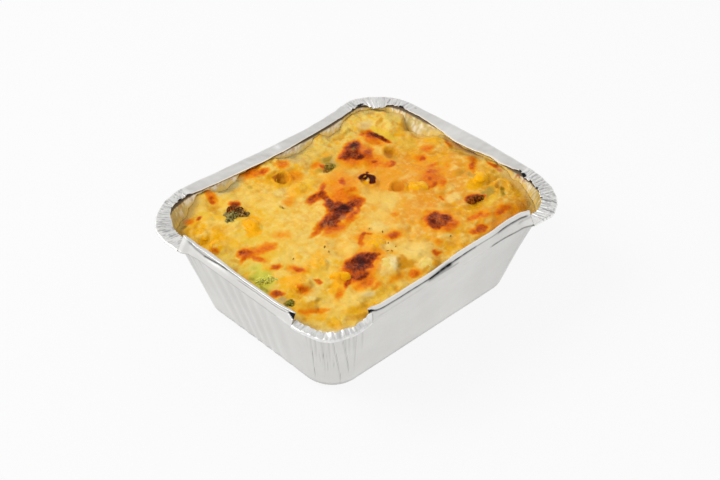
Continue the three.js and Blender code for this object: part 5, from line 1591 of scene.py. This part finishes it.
def build_flecks():
    draws = seeded_draws(5)
    vertices, faces = [], []
    for seen_x, seen_y, length, turn in FLECKS:
        x, y = seen_x, seen_y
        for _ in range(3):
            z = float(dressed_height(np.array([x]), np.array([y]))[0])
            share = (CAMERA[2] - z) / (CAMERA[2] - SEEN_HEIGHT)
            x = CAMERA[0] + (seen_x - CAMERA[0]) * share
            y = CAMERA[1] + (seen_y - CAMERA[1]) * share
        angle = math.radians(turn + 25 * (next(draws) - 0.5))
        width = length * lerp(0.34, 0.5, next(draws))
        ring = []
        for k in range(FLECK_CORNERS):
            t = 2 * math.pi * k / FLECK_CORNERS
            rough = lerp(0.8, 1.15, next(draws))
            along, across = math.cos(t) * length / 2 * rough, math.sin(t) * width / 2 * rough
            ring.append((x + along * math.cos(angle) - across * math.sin(angle),
                         y + along * math.sin(angle) + across * math.cos(angle)))
        ring = np.array(ring)
        heights = dressed_height(ring[:, 0], ring[:, 1])
        top = len(vertices)
        under = top + FLECK_CORNERS
        top_middle = under + FLECK_CORNERS
        for lift in (0.16, -0.1):
            vertices += [(px, py, pz + lift) for (px, py), pz in zip(ring, heights)]
        vertices += [(x, y, z + 0.3), (x, y, z - 0.12)]
        for k in range(FLECK_CORNERS):
            n = (k + 1) % FLECK_CORNERS
            faces.append((top + k, top + n, top_middle))
            faces.append((under + n, under + k, top_middle + 1))
            faces.append((top + n, top + k, under + k, under + n))
    return new_mesh("herb_flecks", vertices, faces)


# ---------------------------------------------------------------- materials


class Shader:
    """A material's node tree, with short calls for the nodes used here."""

    def __init__(self, name):
        self.material = bpy.data.materials.new(name)
        self.material.use_nodes = True
        self.tree = self.material.node_tree
        self.shader = self.tree.nodes["Principled BSDF"]

    def node(self, kind, **settings):
        made = self.tree.nodes.new(kind)
        for key, value in settings.items():
            setattr(made, key, value)
        return made

    def link(self, source, target):
        self.tree.links.new(source, target)

    def fixed(self, **values):
        for key, value in values.items():
            self.shader.inputs[key.replace("_", " ")].default_value = value

    def place(self, scale=1.0):
        coordinates = self.node("ShaderNodeTexCoord")
        mapping = self.node("ShaderNodeMapping")
        mapping.inputs["Scale"].default_value = (scale,) * 3 if isinstance(scale, (int, float)) else scale
        self.link(coordinates.outputs["Object"], mapping.inputs["Vector"])
        return mapping.outputs["Vector"]

    def noise(self, scale, detail=2.0, roughness=0.5, vector=None):
        made = self.node("ShaderNodeTexNoise")
        made.inputs["Scale"].default_value = scale
        made.inputs["Detail"].default_value = detail
        made.inputs["Roughness"].default_value = roughness
        self.link(vector or self.place(), made.inputs["Vector"])
        return made.outputs["Fac"]

    def span(self, source, low, high, to_low=0.0, to_high=1.0):
        made = self.node("ShaderNodeMapRange")
        for key, value in (("From Min", low), ("From Max", high), ("To Min", to_low), ("To Max", to_high)):
            made.inputs[key].default_value = value
        self.link(source, made.inputs["Value"])
        return made.outputs["Result"]

    def math(self, operation, a, b):
        made = self.node("ShaderNodeMath", operation=operation)
        for socket, value in zip(made.inputs, (a, b)):
            if isinstance(value, (int, float)):
                socket.default_value = value
            else:
                self.link(value, socket)
        return made.outputs["Value"]

    def mix(self, share, a, b, mode="MIX"):
        made = self.node("ShaderNodeMix", data_type="RGBA", blend_type=mode)
        for socket, value in ((made.inputs[0], share), (made.inputs[6], a), (made.inputs[7], b)):
            if isinstance(value, (int, float)):
                socket.default_value = value
            elif isinstance(value, (tuple, list, np.ndarray)):
                socket.default_value = (*value[:3], 1.0)
            else:
                self.link(value, socket)
        return made.outputs[2]

    def attribute(self, name, colour=False):
        made = self.node("ShaderNodeAttribute", attribute_name=name)
        return made.outputs["Color" if colour else "Fac"]

    def bump(self, height, strength, distance, normal=None):
        made = self.node("ShaderNodeBump")
        made.inputs["Strength"].default_value = strength
        made.inputs["Distance"].default_value = distance
        self.link(height, made.inputs["Height"])
        if normal is not None:
            self.link(normal, made.inputs["Normal"])
        return made.outputs["Normal"]

    def soft(self, weight, radius, scale):
        """Light scattered under the surface: its share, and how far red, green and blue go."""
        self.fixed(Subsurface_Weight=weight, Subsurface_Radius=radius, Subsurface_Scale=scale)

    def oily(self, level):
        """A thin film of warm fat: little and warm gloss."""
        self.shader.inputs["Specular IOR Level"].default_value = level
        self.shader.inputs["Specular Tint"].default_value = (1.0, 0.72, 0.36, 1.0)

    def wire(self, **sources):
        for key, source in sources.items():
            self.link(source, self.shader.inputs[key.replace("_", " ")])


def foil_material():
    m = Shader("rolled_foil")
    grain = m.noise(1.0, 3, 0.6, m.place((260, 2600, 900)))
    broad = m.noise(60, 2, 0.5)
    tone = m.mix(m.span(broad, 0.3, 0.7), (0.68, 0.672, 0.65), (0.735, 0.728, 0.706))
    # The tone attribute darkens or keeps the foil's colour as painted shade and light by the wall's slope.
    shaded = m.mix(1.0, tone, (0.86,) * 3, "MULTIPLY")
    tone = m.mix(m.span(m.attribute("tone"), -0.5, 0.5), shaded, tone)
    tone = m.mix(m.math("MULTIPLY", m.attribute("shine"), 0.9), tone, (0.97, 0.97, 0.96))
    film = m.node("ShaderNodeAttribute", attribute_name="film")
    tone = m.mix(film.outputs["Alpha"], tone, film.outputs["Color"])
    tone = m.mix(m.span(m.attribute("painted_shade"), 0, 0.95), tone, (0.012, 0.012, 0.014))
    smear = m.math("MULTIPLY", film.outputs["Alpha"], 0.2)
    smear = m.math("ADD", smear, m.math("MULTIPLY", m.attribute("matt"), 0.16))
    m.wire(Base_Color=tone, Roughness=m.math("ADD", m.span(grain, 0.2, 0.8, 0.26, 0.4), smear))
    m.wire(Metallic=m.span(film.outputs["Alpha"], 0, 0.9, 1.0, 0.04))
    crumple = m.noise(230, 2, 0.5)
    normal = m.bump(crumple, 0.12, 0.0008)
    m.wire(Normal=m.bump(grain, 0.08, 0.0001, normal))
    m.fixed(Specular_IOR_Level=0.12)
    return m.material


def crust_material():
    m = Shader("baked_cheese")
    fine = m.noise(900, 4, 0.65)
    soft = m.noise(260, 3, 0.6)
    paint = m.attribute("paint", colour=True)
    paint = m.mix(m.span(soft, 0.35, 0.7, 0, 0.3), paint, (0.96, 0.78, 0.45), "MULTIPLY")
    paint = m.mix(m.span(fine, 0.5, 0.72, 0, 0.22), paint, (0.92, 0.72, 0.4), "MULTIPLY")
    burnt = m.attribute("burnt")
    speckle = m.math("MULTIPLY", m.span(m.noise(1500, 3, 0.6), 0.45, 0.62), m.math("MULTIPLY", burnt, 0.5))
    paint = m.mix(speckle, paint, albedo("char"))
    m.wire(Base_Color=paint, Roughness=m.span(fine, 0.3, 0.7, 0.36, 0.55))
    normal = m.bump(m.noise(420, 4, 0.6), 0.4, 0.0009)
    m.wire(Normal=m.bump(m.noise(1400, 3, 0.6), 0.3, 0.0003, normal))
    m.soft(0.06, (1.0, 0.4, 0.12), 0.0008)
    m.oily(0.14)
    return m.material


def simple_food(name, base, second, rough=0.4, scatter=0.2, scale=500, accent=None):
    m = Shader(name)
    tone = m.mix(m.span(m.noise(scale, 3, 0.6), 0.35, 0.68), albedo(base), albedo(second))
    if accent:
        colour, low, high = accent
        tone = m.mix(m.span(m.noise(scale * 0.6, 4, 0.7), low, high), tone, albedo(colour))
    m.wire(Base_Color=tone, Roughness=m.span(m.noise(scale * 2, 2, 0.5), 0.3, 0.7, rough - 0.08, rough + 0.1))
    m.wire(Normal=m.bump(m.noise(scale * 1.6, 3, 0.6), 0.3, 0.0005))
    m.soft(scatter, (1.0, 0.4, 0.1), 0.0012)
    m.oily(0.2)
    return m.material


def floret_material(name, dark, light, scatter=0.0):
    m = Shader(name)
    tone = m.mix(m.attribute("shade"), albedo(dark), albedo(light))
    baked = m.mix(m.attribute("shade"), albedo("dark_bud"), albedo("brown_bud"))
    tone = m.mix(m.attribute("brown"), tone, baked)
    m.wire(Base_Color=tone)
    m.wire(Normal=m.bump(m.noise(1800, 3, 0.6), 0.4, 0.0003))
    m.fixed(Roughness=0.5)
    m.soft(scatter, (1.0, 0.9, 0.3), 0.0015)
    m.oily(0.15)
    return m.material


def tube_material(name, wall, bore):
    m = Shader(name)
    tone = m.mix(m.span(m.noise(600, 3, 0.6), 0.35, 0.7), albedo(wall), albedo("glaze"))
    tone = m.mix(m.attribute("bore"), tone, albedo(bore))
    m.wire(Base_Color=tone)
    m.wire(Normal=m.bump(m.noise(900, 3, 0.6), 0.3, 0.0004))
    m.fixed(Roughness=0.45)
    m.soft(0.15, (1.0, 0.4, 0.1), 0.0012)
    m.oily(0.15)
    return m.material


# ---------------------------------------------------------------- the object

tray = build_tray()
tray.data.materials.append(foil_material())
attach(tray, "root")
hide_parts("foil_tray")

crust = build_crust()
crust.data.materials.append(crust_material())
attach(crust, "root")
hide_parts("pasta_bake")

# Dark and light tone of each floret, and how much light it scatters; wall and bore of each tube.
FLORET_TONES = {
    1: ((84, 78, 34), (176, 166, 108)), 2: ((70, 48, 10), (134, 104, 36)),
    3: ((222, 216, 96), (230, 222, 112), 0.8), 4: ((62, 74, 16), (164, 158, 66)),
    5: ((120, 106, 30), (188, 168, 84)),
}
TUBE_TONES = {
    1: ((236, 180, 60), (150, 96, 14)), 2: ((96, 44, 8), (236, 168, 24)), 3: ((240, 168, 56), (178, 104, 12)),
    4: ((216, 186, 60), (96, 100, 36)), 5: ((240, 190, 90), (200, 130, 40)),
    6: ((236, 190, 80), (140, 118, 34)),
}
corn_skin = simple_food("sweetcorn", (252, 188, 26), (246, 172, 12), 0.3, 0.35, 400,
                        accent=((250, 214, 110), 0.6, 0.8))
potato_flesh = simple_food("potato", (241, 214, 126), (233, 198, 92), 0.42, 0.2, 500)
# How each kind of piece is built, what it is made of, and its slot.
MAKERS = {
    "corn": (build_kernel, lambda i: corn_skin, "corn"),
    "potato": (build_cube, lambda i: potato_flesh, "potato"),
    "broccoli": (build_floret, lambda i: floret_material(f"broccoli_{i}", *FLORET_TONES[i]), "broccoli"),
    "macaroni": (build_tube, lambda i: tube_material(f"macaroni_{i}", *TUBE_TONES[i]), "pasta"),
}
for kind, (maker, finish, slot) in MAKERS.items():
    for number, spec in enumerate(PIECES[kind], 1):
        piece = maker(f"{kind}_piece_{number}", spec, number)
        piece.data.materials.append(finish(number))
        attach(piece, "root")
        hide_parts(f"{kind}_{number}")

flecks = build_flecks()
flecks.data.materials.append(simple_food("dried_herb", (178, 130, 44), (130, 90, 24), 0.6, 0.3, 900))
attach(flecks, "root")

# ---------------------------------------------------------------- stage, light and camera


# Half size of the floor in mm, and how brightly its white glows.
FLOOR_HALF, FLOOR_GLOW = 3000, 0.92
# How bright the surroundings are, from straight down (0) over the horizon (0.5) to straight up (1).
SKY_STOPS = [(0.0, 0.94), (0.5, 1.0), (0.66, 1.12), (0.84, 1.1), (0.93, 0.62), (1.0, 0.48)]
# The light's place, target and size in metres, and its power in watts.
KEY_LIGHT = {"place": (-0.7, 0.55, 1.0), "target": (0, 0, 0.03), "size": 0.7, "power": 9}
CAMERA_RANGE = (0.01, 100)


def build_floor():
    corners = [(x * FLOOR_HALF, y * FLOOR_HALF, 0) for x, y in ((-1, -1), (1, -1), (1, 1), (-1, 1))]
    floor = new_mesh("floor", corners, [(0, 1, 2, 3)])
    m = Shader("studio_floor")
    m.fixed(Base_Color=(0.07, 0.07, 0.07, 1.0), Roughness=0.9)
    m.shader.inputs["Specular IOR Level"].default_value = 0.0
    m.shader.inputs["Emission Color"].default_value = (*srgb(250, 250, 250), 1.0)
    m.shader.inputs["Emission Strength"].default_value = FLOOR_GLOW
    floor.data.materials.append(m.material)


def build_world():
    world = bpy.data.worlds.new("studio")
    bpy.context.scene.world = world
    world.use_nodes = True
    tree = world.node_tree
    background = tree.nodes["Background"]
    coordinates = tree.nodes.new("ShaderNodeTexCoord")
    split = tree.nodes.new("ShaderNodeSeparateXYZ")
    tree.links.new(coordinates.outputs["Generated"], split.inputs["Vector"])
    ramp = tree.nodes.new("ShaderNodeValToRGB")
    for element, (position, _) in zip(ramp.color_ramp.elements, (SKY_STOPS[0], SKY_STOPS[-1])):
        element.position = position
    for position, _ in SKY_STOPS[1:-1]:
        ramp.color_ramp.elements.new(position)
    for element, (_, value) in zip(ramp.color_ramp.elements, SKY_STOPS):
        element.color = (value, value, value, 1)
    rising = tree.nodes.new("ShaderNodeMapRange")
    rising.inputs["From Min"].default_value = -1
    tree.links.new(split.outputs["Z"], rising.inputs["Value"])
    tree.links.new(rising.outputs["Result"], ramp.inputs["Fac"])
    tree.links.new(ramp.outputs["Color"], background.inputs["Color"])
    background.inputs["Strength"].default_value = 1.0


def add_area(name, place, target, size, power):
    data = bpy.data.lights.new(name, "AREA")
    data.shape = "DISK"
    data.size = size
    data.energy = power
    light = bpy.data.objects.new(name, data)
    bpy.context.scene.collection.objects.link(light)
    light.location = Vector(place)
    light.rotation_euler = (Vector(target) - light.location).to_track_quat("-Z", "Y").to_euler()


def build_camera():
    azimuth, elevation = math.radians(CAMERA_AZIMUTH), math.radians(CAMERA_ELEVATION)
    roll = math.radians(CAMERA_ROLL)
    back = Vector((math.sin(azimuth) * math.cos(elevation), -math.cos(azimuth) * math.cos(elevation),
                   math.sin(elevation)))
    right = Vector((math.cos(azimuth), math.sin(azimuth), 0))
    up = back.cross(right)
    right, up = right * math.cos(roll) + up * math.sin(roll), up * math.cos(roll) - right * math.sin(roll)
    data = bpy.data.cameras.new("camera")
    data.sensor_width = SENSOR_WIDTH
    data.lens = CAMERA_FOCAL_PIXELS * SENSOR_WIDTH / IMAGE_WIDTH
    data.clip_start, data.clip_end = CAMERA_RANGE
    camera = bpy.data.objects.new("camera", data)
    bpy.context.scene.collection.objects.link(camera)
    camera.matrix_world = Matrix((
        (right.x, up.x, back.x, CAMERA_PLACE[0] * MM), (right.y, up.y, back.y, CAMERA_PLACE[1] * MM),
        (right.z, up.z, back.z, CAMERA_PLACE[2] * MM), (0, 0, 0, 1)))
    bpy.context.scene.camera = camera


build_floor()
build_world()
add_area("key_light", **KEY_LIGHT)
build_camera()
bpy.context.scene.view_settings.view_transform = "Standard"
